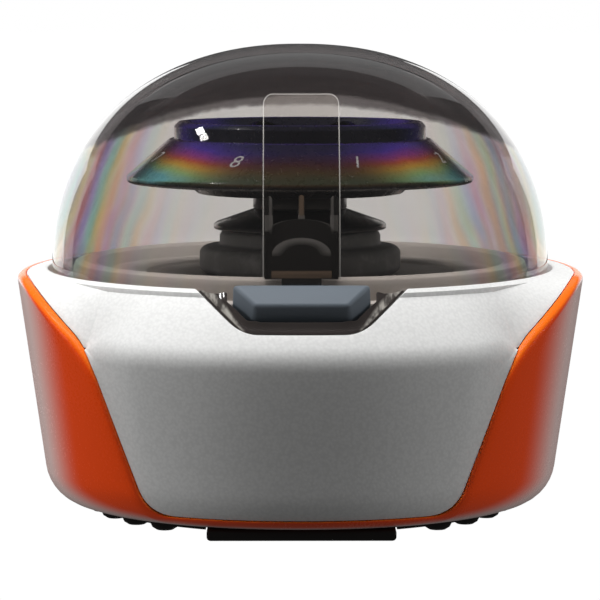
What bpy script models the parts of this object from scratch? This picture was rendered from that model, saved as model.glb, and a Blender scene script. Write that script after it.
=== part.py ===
"""Mini centrifuge: a tapered two-colour body, a hinged clear dome, an eight-place rotor and its drive.

Lengths are in metres. +Z is up, -Y is the front with the release button, and z = 0 is the bench.
Every shape is drawn about the rotor's axis, and one empty carries that axis to its place, so that the
origin of the whole lies under the middle of its outline.
"""

import math

import bmesh
import bpy
from mathutils import Matrix, Vector

MM = 0.001

# Fits that several pieces share
GAP = 0.3 * MM
SEAM = 0.3 * MM
OVERRUN = 4.0 * MM

# Dome lid
DOME_RADIUS = 67.6 * MM
DOME_HEIGHT = 60.5 * MM
DOME_WALL = 2.5 * MM
DOME_POWER = 2.2
DOME_SEAT_DEPTH = 3.0 * MM
DOME_STEPS = 40
DOME_RINGS = 8
WINDOW_HALF_WIDTH = 9.3 * MM
WINDOW_RECESS = 1.0 * MM
WINDOW_TOP = 48.0 * MM
WINDOW_BOTTOM = 2.2 * MM

# Recess that the dome sits in
RECESS_CLEARANCE = 1.2 * MM
SKIRT_WALL = 2.0 * MM
SKIRT_DEPTH = 7.5 * MM
LEDGE_WIDTH = 3.3 * MM
LEDGE_THICKNESS = 1.7 * MM
RECESS_RADIUS = DOME_RADIUS + RECESS_CLEARANCE

# Body outline: the deck's width round the recess, how the walls lean in, and the rounded lower edge
DECK_Z = 64.0 * MM
DECK_SIDE = 7.2 * MM
DECK_FRONT = 13.2 * MM
DECK_REAR = 7.2 * MM
BODY_HALF_WIDTH = RECESS_RADIUS + DECK_SIDE
BODY_FRONT = RECESS_RADIUS + DECK_FRONT
BODY_REAR = RECESS_RADIUS + DECK_REAR
BODY_MIDDLE_BACK = 12.0 * MM
SIDE_LEAN = math.radians(8.0)
FRONT_LEAN = math.radians(9.5)
OUTLINE_POWER = 2.1
OUTLINE_POINTS = 48
FLOOR_Z = 3.4 * MM
CHINE_HEIGHT = 8.6 * MM
CHINE_DEPTH = 7.0 * MM
CHINE_STEPS = 3
WALL_STEPS = 3

# Front slope: the level line where it breaks from the front, and where the side rims leave the deck
BREAK_Z = 50.0 * MM
RIM_CORNER_INSET = 1.5 * MM
RIM_CORNER_RUN = 21.0 * MM
RIM_CORNER_HALF_WIDTH = BODY_HALF_WIDTH - RIM_CORNER_INSET
BREAK_HALF_WIDTH = RIM_CORNER_HALF_WIDTH - RIM_CORNER_RUN
SLOPE_BULGE = 1.1 * MM

# Walls
SHELL_WALL = 2.4 * MM
SHELL_FLOOR = 2.4 * MM
COVER_WALL = 2.2 * MM

# Front panel, as seen from the front
PANEL_TAPER = 14.5 * MM
PANEL_BOTTOM_HALF_WIDTH = BREAK_HALF_WIDTH - PANEL_TAPER
PANEL_BOTTOM_Z = 6.3 * MM
PANEL_CORNER = 10.0 * MM
PANEL_CORNER_STEPS = 5

# Chamber liner: flange under the dome, raised rim and shallow floor
FLANGE_THICKNESS = 2.0 * MM
RIM_CLEARANCE = 3.1 * MM
RIM_CREST = 3.0 * MM
RIM_WIDTH = 7.0 * MM
RIM_OUTER_RADIUS = DOME_RADIUS - DOME_WALL - RIM_CLEARANCE
RIM_MIDDLE_RADIUS = RIM_OUTER_RADIUS - RIM_CREST
RIM_INNER_RADIUS = RIM_OUTER_RADIUS - RIM_WIDTH
RIM_HEIGHT = 2.3 * MM
CHAMBER_FLOOR_DROP = 2.0 * MM
CHAMBER_STEP_WIDTH = 13.0 * MM
CHAMBER_STEP_RADIUS = RIM_INNER_RADIUS - CHAMBER_STEP_WIDTH
CHAMBER_STEP = 0.8 * MM
CHAMBER_WALL = 2.0 * MM
CHAMBER_BORE = 14.0 * MM
CHAMBER_STEPS = 40
POST_RADIUS = 4.0 * MM
FRONT_POST_SIDE = 30.0 * MM
FRONT_POST_Y = 36.0 * MM
REAR_POST_SIDE = 32.0 * MM
REAR_POST_Y = 34.0 * MM
FRONT_POST_X = BODY_HALF_WIDTH - FRONT_POST_SIDE
REAR_POST_X = BODY_HALF_WIDTH - REAR_POST_SIDE
POST_PLACES = (
    (FRONT_POST_X, -FRONT_POST_Y),
    (-FRONT_POST_X, -FRONT_POST_Y),
    (REAR_POST_X, REAR_POST_Y),
    (-REAR_POST_X, REAR_POST_Y),
)

# Stepped rubber boot over the motor, and the cone that caps it, outwards from the motor's screws
MOTOR_RADIUS = 17.5 * MM
SCREW_HEAD_RADIUS = 2.8 * MM
DAMPER_CLEARANCE = 1.2 * MM
DAMPER_CIRCLE = MOTOR_RADIUS + SCREW_HEAD_RADIUS + DAMPER_CLEARANCE
BOOT_COVER = 6.0 * MM
BOOT_BASE_RADIUS = DAMPER_CIRCLE + BOOT_COVER
BOOT_BASE_TOP = 5.5 * MM
BOOT_STEP = 5.5 * MM
BOOT_RING_RADIUS = BOOT_BASE_RADIUS - BOOT_STEP
BOOT_RING_TOP = 10.0 * MM
BOOT_WALL = 2.2 * MM
BOOT_FOOT_RADIUS = 17.0 * MM
BOOT_ROUND = 1.2 * MM
CAP_OVERHANG = 1.6 * MM
CAP_LIP_RADIUS = BOOT_RING_RADIUS + CAP_OVERHANG
CAP_LIP_HEIGHT = 1.8 * MM
CAP_TOP = 15.6 * MM
CAP_BORE = 3.5 * MM
ROUND_STEPS = 32

# Rotor, with heights above the deck
ROTOR_RADIUS = 47.3 * MM
ROTOR_LIP_BOTTOM = 23.0 * MM
ROTOR_LIP_HEIGHT = 1.7 * MM
ROTOR_LIP_ROUND = 0.6 * MM
ROTOR_CONE_TOP_RADIUS = 35.6 * MM
ROTOR_CONE_TOP = 34.8 * MM
ROTOR_BUMP_RADIUS = 34.3 * MM
ROTOR_TOP = 39.5 * MM
ROTOR_BUMP_ROUND = 1.3 * MM
ROTOR_MOUTH_RADIUS = 31.3 * MM
ROTOR_MOUTH_DROP = 0.8 * MM
ROTOR_FLOOR_TOP = 24.0 * MM
ROTOR_FLOOR_BOTTOM = 20.0 * MM
ROTOR_FLOOR_RADIUS = 28.0 * MM
ROTOR_BORE = 5.2 * MM
TUBE_PLACES = 8
TUBE_HOLE_RADIUS = 5.5 * MM
TUBE_ANGLE = math.radians(45.0)
TUBE_MOUTH_RADIUS = 27.1 * MM
FIRST_PLACE_ANGLE = math.radians(20.3)
HUB_RADIUS = 12.8 * MM
HUB_CLEARANCE = 0.3 * MM
HUB_SPIGOT_TOP = 28.0 * MM
KNOB_RADIUS = 8.5 * MM
KNOB_TOP = 34.0 * MM
KNOB_ROUND = 1.6 * MM
KNOB_BORE_TOP = 28.6 * MM

# Motor and its mount, with heights above the bench
SHAFT_RADIUS = 1.5 * MM
SHAFT_CLEARANCE = 0.2 * MM
SHAFT_TOP = 90.5 * MM
MOTOR_HEIGHT = 34.0 * MM
MOTOR_ROUND = 1.5 * MM
BEARING_RADIUS = 5.0 * MM
BEARING_HEIGHT = 3.4 * MM
ENDCAP_RADIUS = 16.4 * MM
ENDCAP_HEIGHT = 2.4 * MM
MOTOR_PLATE_THICKNESS = 2.0 * MM
DAMPER_RADIUS = 3.8 * MM
DAMPER_HEIGHT = 4.4 * MM
MOTOR_PLATE_RIM = 5.0 * MM
MOTOR_PLATE_RADIUS = DAMPER_CIRCLE + MOTOR_PLATE_RIM
DAMPER_COUNT = 3

# Screws
SCREW_RADIUS = 1.4 * MM
SCREW_CLEARANCE = 0.35 * MM
SCREW_HEAD_HEIGHT = 1.5 * MM
SCREW_SOCKET_RADIUS = 1.3 * MM
SCREW_SOCKET_DEPTH = 0.8 * MM
CASE_SCREW_GRIP = 9.0 * MM
SCREW_STEPS = 10

# Feet
STUD_COUNT = 32
STUD_RADIUS = 4.0 * MM
STUD_TOP_RADIUS = 2.2 * MM
STUD_INSET = 20.5 * MM
STUD_CIRCLE = BODY_HALF_WIDTH - STUD_INSET
STUD_CIRCLE_BACK = 6.0 * MM
STUD_SIDES = 6
FOOT_PAD_THICKNESS = 1.0 * MM
FOOT_PAD_HALF_WIDTH = 4.6 * MM
FOOT_BAR_HALF_LENGTH = 24.0 * MM
FOOT_BAR_WIDTH = 8.0 * MM
FOOT_BAR_INSET = 15.7 * MM
FOOT_BAR_REACH = BODY_FRONT - FOOT_BAR_INSET

# Control board
BOARD_LENGTH = 50.0 * MM
BOARD_DEPTH = 26.0 * MM
BOARD_THICKNESS = 1.6 * MM
BOARD_Z = 12.0 * MM
BOARD_FROM_REAR = 36.0 * MM
BOARD_BACK = BODY_REAR - BOARD_FROM_REAR
BOARD_POST_RADIUS = 2.8 * MM
BOARD_POST_INSET = 4.0 * MM
BOARD_SCREW_GRIP = 4.0 * MM
CAPACITOR_RADIUS = 4.0 * MM
CAPACITOR_HEIGHT = 9.0 * MM
CHIP_SIZE = 9.0 * MM
CHIP_HEIGHT = 1.8 * MM
TERMINAL_SIZE = 7.0 * MM
LEAD_RADIUS = 0.7 * MM
LEAD_SPREAD = 5.0 * MM
LEAD_STEPS = 12
LEAD_EASE_SHARE = 5 / 11

# Power inlet and switch in the rear wall
REAR_FITTINGS_Z = 24.0 * MM
JACK_SIDE = 16.0 * MM
JACK_RADIUS = 5.2 * MM
JACK_FLANGE_RADIUS = 6.6 * MM
JACK_FLANGE_THICKNESS = 1.2 * MM
JACK_LENGTH = 12.0 * MM
JACK_BORE = 3.0 * MM
JACK_PIN = 0.9 * MM
JACK_BACK_WALL = 2.0 * MM
SWITCH_SIDE = 18.0 * MM
SWITCH_HALF_WIDTH = 7.0 * MM
SWITCH_HALF_HEIGHT = 10.5 * MM
SWITCH_RIM = 1.6 * MM
SWITCH_RIM_THICKNESS = 1.5 * MM
SWITCH_DEPTH = 13.0 * MM
SWITCH_WALL = 1.2 * MM
ROCKER_PIVOT_DEPTH = 2.0 * MM
ROCKER_TILT = math.radians(7.0)
ROCKER_DEPTH = 5.0 * MM
ROCKER_PROUD = 1.6 * MM
ROCKER_CLEARANCE = 0.5 * MM

# Hinge at the rear of the dome
HINGE_BEHIND_DOME = 7.9 * MM
HINGE_BACK = DOME_RADIUS + HINGE_BEHIND_DOME
HINGE_ABOVE_DECK = 4.2 * MM
HINGE_EAR_RADIUS = 3.8 * MM
HINGE_EAR_INNER = 14.8 * MM
HINGE_EAR_WIDTH = 5.0 * MM
HINGE_PIN_RADIUS = 1.6 * MM
HINGE_PIN_CLEARANCE = 0.15 * MM
KNUCKLE_RADIUS = 3.2 * MM
ARM_HALF_WIDTH = 12.0 * MM
ARM_BOTTOM = 1.5 * MM
ARM_TOP = 8.5 * MM
ARM_FRONT_DEPTH = 4.6 * MM

# Bezel and release button on the front slope, with heights above or below the deck
BEZEL_TOP_HALF_WIDTH = 26.2 * MM
BEZEL_BOTTOM_HALF_WIDTH = 14.6 * MM
BEZEL_BOTTOM_DROP = 10.0 * MM
BEZEL_WALL = 2.0 * MM
BEZEL_SINK = 0.4 * MM
BEZEL_CORNER_SHARE = 0.7
BUTTON_OVERHANG = 0.1 * MM
BUTTON_DEPTH = 7.3 * MM
BUTTON_REAR = RECESS_RADIUS - BUTTON_OVERHANG
BUTTON_REAR_HALF_WIDTH = 17.4 * MM
BUTTON_REAR_RISE = 1.6 * MM
BUTTON_FRONT = BUTTON_REAR + BUTTON_DEPTH
BUTTON_FRONT_HALF_WIDTH = 11.6 * MM
BUTTON_FRONT_DROP = 3.1 * MM
BUTTON_SKIRT_DROP = 8.2 * MM
BUTTON_SKIRT_FLARE = 0.9 * MM
BUTTON_ROUND = 0.9 * MM
BUTTON_CLEARANCE = 0.5 * MM
BUTTON_TRAVEL = 2.0 * MM
WEDGE_SHARE = 1.3

# Latch: the lid's hook, the slider that holds it down and the bracket that guides the slider
SLIDER_TRAVEL = 1.5 * MM
SLIDER_Z = 47.3 * MM
SLIDER_THICKNESS = 2.0 * MM
SLIDER_LENGTH = 7.2 * MM
SLIDER_HALF_WIDTH = 7.3 * MM
SLIDER_SLOT_HALF_WIDTH = 3.0 * MM
SLIDER_WEB = 1.8 * MM
STEM_HALF_WIDTH = 2.5 * MM
STEM_DEPTH = 3.1 * MM
STEM_TOP_SINK = 1.5 * MM
HOOK_INSET = 3.6 * MM
HOOK_FRONT = DOME_RADIUS - HOOK_INSET
HOOK_THICKNESS = 1.7 * MM
HOOK_HALF_WIDTH = 5.0 * MM
HOOK_LIP = 1.6 * MM
HOOK_LIP_HEIGHT = 3.0 * MM
HOOK_SWING = 0.9 * MM
BRACKET_HALF_WIDTH = 15.5 * MM
BRACKET_TOP = 49.7 * MM
BRACKET_FLOOR = 1.8 * MM
BRACKET_WALL = 0.8 * MM
BRACKET_INSET = 0.1 * MM
SPRING_RADIUS = 2.1 * MM
SPRING_WIRE = 0.3 * MM
SPRING_TURNS = 5
SPRING_STEPS = 8
SPRING_SIDE = 11.3 * MM
SPRING_INSET = 3.6 * MM
STRIKER_HALF_WIDTH = 9.3 * MM
STRIKER_TOP = 13.5 * MM
STRIKER_ARCH = 2.5 * MM
STRIKER_ARCH_STEPS = 6
STRIKER_BOTTOM = 2.4 * MM
STRIKER_THICKNESS = 1.6 * MM
STRIKER_RIB_TOP = 22.0 * MM
STRIKER_RIB_WIDTH = 2.4 * MM
STRIKER_RIB_DEPTH = 2.6 * MM
STRIKER_FIN_WIDTH = 1.7 * MM
STRIKER_FIN_TOP = 23.7 * MM
MAGNET_RADIUS = 2.4 * MM
MAGNET_THICKNESS = 1.6 * MM
SENSOR_SIZE = (7.0 * MM, 3.4 * MM, 3.0 * MM)
SENSOR_SIDE = 15.0 * MM

# Places that follow from the sizes above
FLANGE_TOP = DECK_Z - DOME_SEAT_DEPTH - 2 * GAP
FLANGE_RADIUS = RECESS_RADIUS - 1.5 * GAP
CHAMBER_FLOOR_Z = DECK_Z - CHAMBER_FLOOR_DROP
CHAMBER_UNDERSIDE = CHAMBER_FLOOR_Z - CHAMBER_WALL
MOTOR_PLATE_TOP = CHAMBER_UNDERSIDE - DAMPER_HEIGHT - 2 * GAP
MOTOR_TOP = MOTOR_PLATE_TOP - MOTOR_PLATE_THICKNESS - GAP
MOTOR_BOTTOM = MOTOR_TOP - MOTOR_HEIGHT
HINGE_Z = DECK_Z + HINGE_ABOVE_DECK
REAR_REACH = HINGE_BACK + HINGE_EAR_RADIUS
AXIS_Y = (BODY_FRONT - REAR_REACH) / 2
HOOK_BOTTOM = SLIDER_Z - GAP - HOOK_LIP_HEIGHT
SLIDER_EDGE = HOOK_FRONT + HOOK_LIP + HOOK_SWING + GAP
SLIDER_FRONT = SLIDER_EDGE + SLIDER_LENGTH
BRACKET_REAR = SLIDER_EDGE + BRACKET_INSET
BRACKET_FRONT = SLIDER_FRONT + SLIDER_TRAVEL + 2 * GAP + BRACKET_WALL
SPRING_BACK = BUTTON_FRONT - SPRING_INSET
STEM_FRONT = SLIDER_FRONT - SLIDER_WEB - GAP
STEM_BACK = STEM_FRONT - STEM_DEPTH / 3
BRACKET_Z = HOOK_BOTTOM - GAP - BRACKET_FLOOR


# Scene and materials


def clear_scene():
    for obj in list(bpy.data.objects):
        bpy.data.objects.remove(obj, do_unlink=True)
    for name in ("mini_centrifuge", "cutters"):
        collection = bpy.data.collections.new(name)
        bpy.context.scene.collection.children.link(collection)


def material(name, colour, roughness, metallic=0.0, alpha=1.0):
    made = bpy.data.materials.new(name)
    made.use_nodes = True
    shader = made.node_tree.nodes["Principled BSDF"]
    shader.inputs["Base Color"].default_value = (*colour, 1.0)
    shader.inputs["Roughness"].default_value = roughness
    shader.inputs["Metallic"].default_value = metallic
    shader.inputs["Alpha"].default_value = alpha
    made.diffuse_color = (*colour, 1.0)
    return made


def make_materials():
    return {
        "white": material("white_plastic", (0.76, 0.76, 0.75), 0.55),
        "orange": material("orange_plastic", (0.90, 0.20, 0.02), 0.35),
        "clear": material("smoke_clear_plastic", (0.35, 0.33, 0.32), 0.05, 0.0, 0.35),
        "grey": material("grey_liner_plastic", (0.15, 0.14, 0.14), 0.5),
        "black": material("black_plastic", (0.02, 0.02, 0.02), 0.3),
        "rubber": material("black_rubber", (0.03, 0.03, 0.03), 0.75),
        "button": material("button_plastic", (0.20, 0.23, 0.26), 0.4),
        "smoke": material("smoke_bezel_plastic", (0.07, 0.06, 0.06), 0.12),
        "steel": material("steel", (0.60, 0.60, 0.62), 0.3, 1.0),
        "board": material("green_board", (0.02, 0.16, 0.06), 0.4),
        "red": material("red_lead", (0.50, 0.02, 0.02), 0.45),
    }


def add_mesh_object(name, mesh, helper=False):
    obj = bpy.data.objects.new(name, mesh)
    home = "cutters" if helper else "mini_centrifuge"
    bpy.data.collections[home].objects.link(obj)
    if helper:
        obj.hide_render = True
        obj.display_type = "WIRE"
    return obj


def add_empty(name, place, parent=None):
    empty = bpy.data.objects.new(name, None)
    bpy.data.collections["mini_centrifuge"].objects.link(empty)
    empty.location = place
    empty.parent = parent
    return empty


# Shapes


def evaluated_mesh(obj):
    """A mesh of the object with its modifiers, welded where caps are loose."""
    bpy.context.view_layer.update()
    graph = bpy.context.evaluated_depsgraph_get()
    mesh = bpy.data.meshes.new_from_object(obj.evaluated_get(graph))
    shape = bmesh.new()
    shape.from_mesh(mesh)
    bmesh.ops.remove_doubles(shape, verts=shape.verts, dist=GAP / 300)
    shape.to_mesh(mesh)
    shape.free()
    return mesh


def as_mesh_object(obj, name):
    """Replaces obj by a mesh object of what its modifiers or curve make."""
    mesh = evaluated_mesh(obj)
    place = obj.matrix_world.copy()
    helper = obj.hide_render
    bpy.data.objects.remove(obj, do_unlink=True)
    made = add_mesh_object(name, mesh, helper)
    made.matrix_world = place
    made.data.transform(made.matrix_world)
    made.matrix_world = Matrix.Identity(4)
    return made


def turned(name, profile, steps, helper=False):
    """A profile of (radius, height) turned about Z. Its outer side runs from top to bottom."""
    mesh = bpy.data.meshes.new(name)
    on_axis = abs(profile[0][0]) < GAP / 1000 and abs(profile[-1][0]) < GAP / 1000
    count = len(profile)
    edges = [(i, i + 1) for i in range(count - 1)]
    if not on_axis:
        edges.append((count - 1, 0))
    mesh.from_pydata([(radius, 0, z) for radius, z in profile], edges, [])
    obj = add_mesh_object(name, mesh, helper)
    screw = obj.modifiers.new("turn", "SCREW")
    screw.steps = steps
    screw.render_steps = steps
    screw.use_merge_vertices = True
    screw.merge_threshold = GAP / 300
    return as_mesh_object(obj, name)


def box(name, low, high, helper=False):
    """A box between two corners."""
    low = Vector(low)
    high = Vector(high)
    shape = bmesh.new()
    bmesh.ops.create_cube(shape, size=1)
    bmesh.ops.scale(shape, vec=high - low, verts=shape.verts)
    bmesh.ops.translate(shape, vec=(low + high) / 2, verts=shape.verts)
    return from_bmesh(name, shape, helper)


def cylinder(name, radius, start, end, steps, helper=False, end_radius=None):
    """A cylinder, or a cone, between two points."""
    start = Vector(start)
    along = Vector(end) - start
    shape = bmesh.new()
    bmesh.ops.create_cone(
        shape,
        cap_ends=True,
        segments=steps,
        radius1=radius,
        radius2=radius if end_radius is None else end_radius,
        depth=along.length,
    )
    turn = along.to_track_quat("Z", "Y").to_matrix().to_4x4()
    middle = Matrix.Translation(start + along / 2)
    bmesh.ops.transform(shape, matrix=middle @ turn, verts=shape.verts)
    return from_bmesh(name, shape, helper)


def from_bmesh(name, shape, helper=False):
    mesh = bpy.data.meshes.new(name)
    bmesh.ops.recalc_face_normals(shape, faces=shape.faces)
    shape.to_mesh(mesh)
    shape.free()
    return add_mesh_object(name, mesh, helper)


def prism(name, outline, start, end, axis, helper=False):
    """A flat outline extruded along an axis. The outline's two values are the other two axes in order."""
    curve = bpy.data.curves.new(name, "CURVE")
    curve.dimensions = "2D"
    curve.fill_mode = "BOTH"
    curve.extrude = (end - start) / 2
    spline = curve.splines.new("POLY")
    spline.points.add(len(outline) - 1)
    for point, (u, v) in zip(spline.points, outline):
        point.co = (u, v, 0, 1)
    spline.use_cyclic_u = True
    obj = bpy.data.objects.new(name, curve)
    bpy.data.collections["cutters" if helper else "mini_centrifuge"].objects.link(obj)
    obj.hide_render = helper
    middle = (start + end) / 2
    if axis == "X":
        columns = ((0, 1, 0), (0, 0, 1), (1, 0, 0))
        place = Vector((middle, 0, 0))
    elif axis == "Y":
        columns = ((1, 0, 0), (0, 0, 1), (0, -1, 0))
        place = Vector((0, middle, 0))
    else:
        columns = ((1, 0, 0), (0, 1, 0), (0, 0, 1))
        place = Vector((0, 0, middle))
    turn = Matrix(columns).transposed().to_4x4()
    obj.matrix_world = Matrix.Translation(place) @ turn
    made = as_mesh_object(obj, name)
    if helper:
        made.display_type = "WIRE"
    shape = bmesh.new()
    shape.from_mesh(made.data)
    bmesh.ops.recalc_face_normals(shape, faces=shape.faces)
    shape.to_mesh(made.data)
    shape.free()
    return made


def boolean(obj, other, operation):
    """Applies one Boolean of a helper to obj, and removes the helper."""
    change = obj.modifiers.new(operation.lower(), "BOOLEAN")
    change.operation = operation
    change.solver = "EXACT"
    change.object = other
    mesh = evaluated_mesh(obj)
    obj.modifiers.clear()
    old = obj.data
    obj.data = mesh
    bpy.data.meshes.remove(old)
    bpy.data.objects.remove(other, do_unlink=True)
    return obj


def cut(obj, cutter):
    return boolean(obj, cutter, "DIFFERENCE")


def join(obj, other):
    return boolean(obj, other, "UNION")


def keep_inside(obj, other):
    return boolean(obj, other, "INTERSECT")


def bevel(obj, width, segments=1, angle=math.radians(35)):
    rounding = obj.modifiers.new("bevel", "BEVEL")
    rounding.width = width
    rounding.segments = segments
    rounding.limit_method = "ANGLE"
    rounding.angle_limit = angle
    mesh = evaluated_mesh(obj)
    obj.modifiers.clear()
    obj.data = mesh
    return obj


def finish(obj, paint, parent, smooth=False):
    """Gives a piece its material and its parent, with the mesh drawn in the parent's own place."""
    obj.data.materials.clear()
    obj.data.materials.append(paint)
    if smooth:
        obj.data.shade_smooth()
        obj.data.set_sharp_from_angle(angle=math.radians(35))
    centre = Vector((0, AXIS_Y, 0))
    offset = parent.matrix_world.translation - centre
    obj.data.transform(Matrix.Translation(-offset))
    obj.parent = parent
    return obj


def show(obj):
    """Moves a finished helper among the pieces."""
    bpy.data.collections["cutters"].objects.unlink(obj)
    bpy.data.collections["mini_centrifuge"].objects.link(obj)
    obj.hide_render = False
    obj.display_type = "TEXTURED"


# Body outline


def lean_in(z, lean):
    """How far a wall has come in at height z, with the rounded lower edge."""
    inward = (DECK_Z - z) * math.tan(lean)
    above_floor = z - FLOOR_Z
    if above_floor < CHINE_HEIGHT:
        share = 1 - above_floor / CHINE_HEIGHT
        inward += CHINE_DEPTH * (1 - math.sqrt(max(0, 1 - share**2)))
    return inward


def outline_point(angle, z, inset):
    """A point of the body's outline at height z. Angle 0 is +X and turns towards the rear."""
    half_width = BODY_HALF_WIDTH - lean_in(z, SIDE_LEAN) - inset
    reach = BODY_REAR + BODY_MIDDLE_BACK - lean_in(z, SIDE_LEAN)
    if math.sin(angle) < 0:
        break_extra = (DECK_Z - BREAK_Z) * math.tan(FRONT_LEAN)
        reach = BODY_FRONT - BODY_MIDDLE_BACK + break_extra - lean_in(z, FRONT_LEAN)
    power = 2 / OUTLINE_POWER
    x = math.copysign(abs(math.cos(angle)) ** power, math.cos(angle))
    y = math.copysign(abs(math.sin(angle)) ** power, math.sin(angle))
    return x * half_width, y * (reach - inset) - BODY_MIDDLE_BACK


def rim_height(x, y):
    """Height of the wall's top: the deck, or lower where the front slope reaches the outline."""
    if y > -BODY_MIDDLE_BACK or abs(x) > RIM_CORNER_HALF_WIDTH:
        return DECK_Z
    run = RIM_CORNER_HALF_WIDTH - BREAK_HALF_WIDTH
    share = min(1, (RIM_CORNER_HALF_WIDTH - abs(x)) / run)
    return DECK_Z - share * (DECK_Z - BREAK_Z)


def outline_angles():
    step = 2 * math.pi / OUTLINE_POINTS
    return [step * i for i in range(OUTLINE_POINTS)]


def body_rings(inset, floor_inset, lid_up=False):
    """Rings of the body's outer surface, moved inwards by inset.

    With lid_up the walls run on straight up past the deck, as a cutter for what lies inside them."""
    rims = []
    for angle in outline_angles():
        x, y = outline_point(angle, DECK_Z, 0)
        z = rim_height(x, y)
        x, y = outline_point(angle, z, 0)
        rims.append((x, y, z))
    rings = []
    low = FLOOR_Z + floor_inset
    for i in range(CHINE_STEPS + 1):
        z = low + (CHINE_HEIGHT - floor_inset) * (i / CHINE_STEPS) ** 2
        rings.append([(*outline_point(a, z, inset), z) for a in outline_angles()])
    chine_top = low + CHINE_HEIGHT - floor_inset
    circle = []
    middle = []
    top = []
    for angle, (rim_x, rim_y, rim_z) in zip(outline_angles(), rims):
        reach = math.hypot(rim_x, rim_y)
        slope = math.atan2(DECK_Z - rim_z, reach - RECESS_RADIUS + GAP)
        rim_drop = inset * (1 - math.sin(slope)) / math.cos(slope)
        z = rim_z - rim_drop
        x, y = outline_point(angle, z, inset)
        top.append((x, y, z))
        along = (RECESS_RADIUS - GAP) / reach
        flat_z = DECK_Z - inset / math.cos(slope)
        circle.append((rim_x * along, rim_y * along, flat_z))
        bulge = SLOPE_BULGE * math.sin(slope)
        half = (Vector(top[-1]) + Vector(circle[-1])) / 2
        middle.append((half.x, half.y, half.z + bulge))
    for i in range(1, WALL_STEPS):
        ring = []
        for angle, (_, _, rim_z) in zip(outline_angles(), top):
            z = chine_top + (rim_z - chine_top) * i / WALL_STEPS
            ring.append((*outline_point(angle, z, inset), z))
        rings.append(ring)
    if lid_up:
        above = DECK_Z + DOME_HEIGHT
        rings.append([(*outline_point(a, t[2], inset), t[2]) for a, t in zip(outline_angles(), top)])
        rings.append([(x, y, above) for x, y, _ in top])
        return rings
    rings += [top, middle, circle]
    return rings


def loft(name, rings, helper=False):
    """A closed solid through rings of as many points each, from the lowest ring to the highest."""
    shape = bmesh.new()
    rows = [[shape.verts.new(point) for point in ring] for ring in rings]
    count = len(rows[0])
    for lower, upper in zip(rows, rows[1:]):
        for i in range(count):
            j = (i + 1) % count
            shape.faces.new((lower[i], lower[j], upper[j], upper[i]))
    shape.faces.new(rows[0][::-1])
    shape.faces.new(rows[-1])
    return from_bmesh(name, shape, helper)


def body_solid(name, inset, floor_inset, lid_up=False):
    return loft(name, body_rings(inset, floor_inset, lid_up), helper=True)


def panel_prism(name, grow):
    """The front panel's outline as seen from the front, wider by grow, through the front wall."""
    half = PANEL_BOTTOM_HALF_WIDTH
    bottom = PANEL_BOTTOM_Z - grow
    side = math.atan2(BREAK_HALF_WIDTH - half, BREAK_Z - PANEL_BOTTOM_Z)
    turn = math.pi / 2 - side
    reach = PANEL_CORNER * math.tan(turn / 2)
    centre_x = half + grow - reach
    centre_z = bottom + PANEL_CORNER
    right = []
    for i in range(PANEL_CORNER_STEPS + 1):
        angle = -math.pi / 2 + turn * i / PANEL_CORNER_STEPS
        x = centre_x + PANEL_CORNER * math.cos(angle)
        z = centre_z + PANEL_CORNER * math.sin(angle)
        right.append((x, z))
    right.append((BREAK_HALF_WIDTH + grow, BREAK_Z))
    right.append((BREAK_HALF_WIDTH + grow, DECK_Z + DOME_HEIGHT))
    left = [(-x, z) for x, z in reversed(right)]
    return prism(name, right + left, -BODY_FRONT - OVERRUN, -RIM_MIDDLE_RADIUS / 2, "Y", helper=True)


def bezel_prism(name, grow):
    """The trapezoid of the bezel as seen from the front."""
    bottom = DECK_Z - BEZEL_BOTTOM_DROP - grow
    top = DECK_Z + OVERRUN
    lean = (BEZEL_TOP_HALF_WIDTH - BEZEL_BOTTOM_HALF_WIDTH) / BEZEL_BOTTOM_DROP
    low_half = BEZEL_BOTTOM_HALF_WIDTH + grow
    high_half = low_half + lean * (top - bottom)
    corner = BEZEL_WALL
    cut_off = corner * BEZEL_CORNER_SHARE
    outline = [
        (low_half - corner, bottom),
        (low_half + cut_off * lean, bottom + cut_off),
        (high_half, top),
    ]
    left = [(-x, z) for x, z in reversed(outline)]
    return prism(name, outline + left, -BODY_FRONT - OVERRUN, -RIM_OUTER_RADIUS, "Y", helper=True)


# Casing


def screw_hole(obj, x, y, low, high, radius):
    """A round hole along Z through obj."""
    return cut(obj, cylinder("hole", radius, (x, y, low), (x, y, high), SCREW_STEPS, helper=True))


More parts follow.
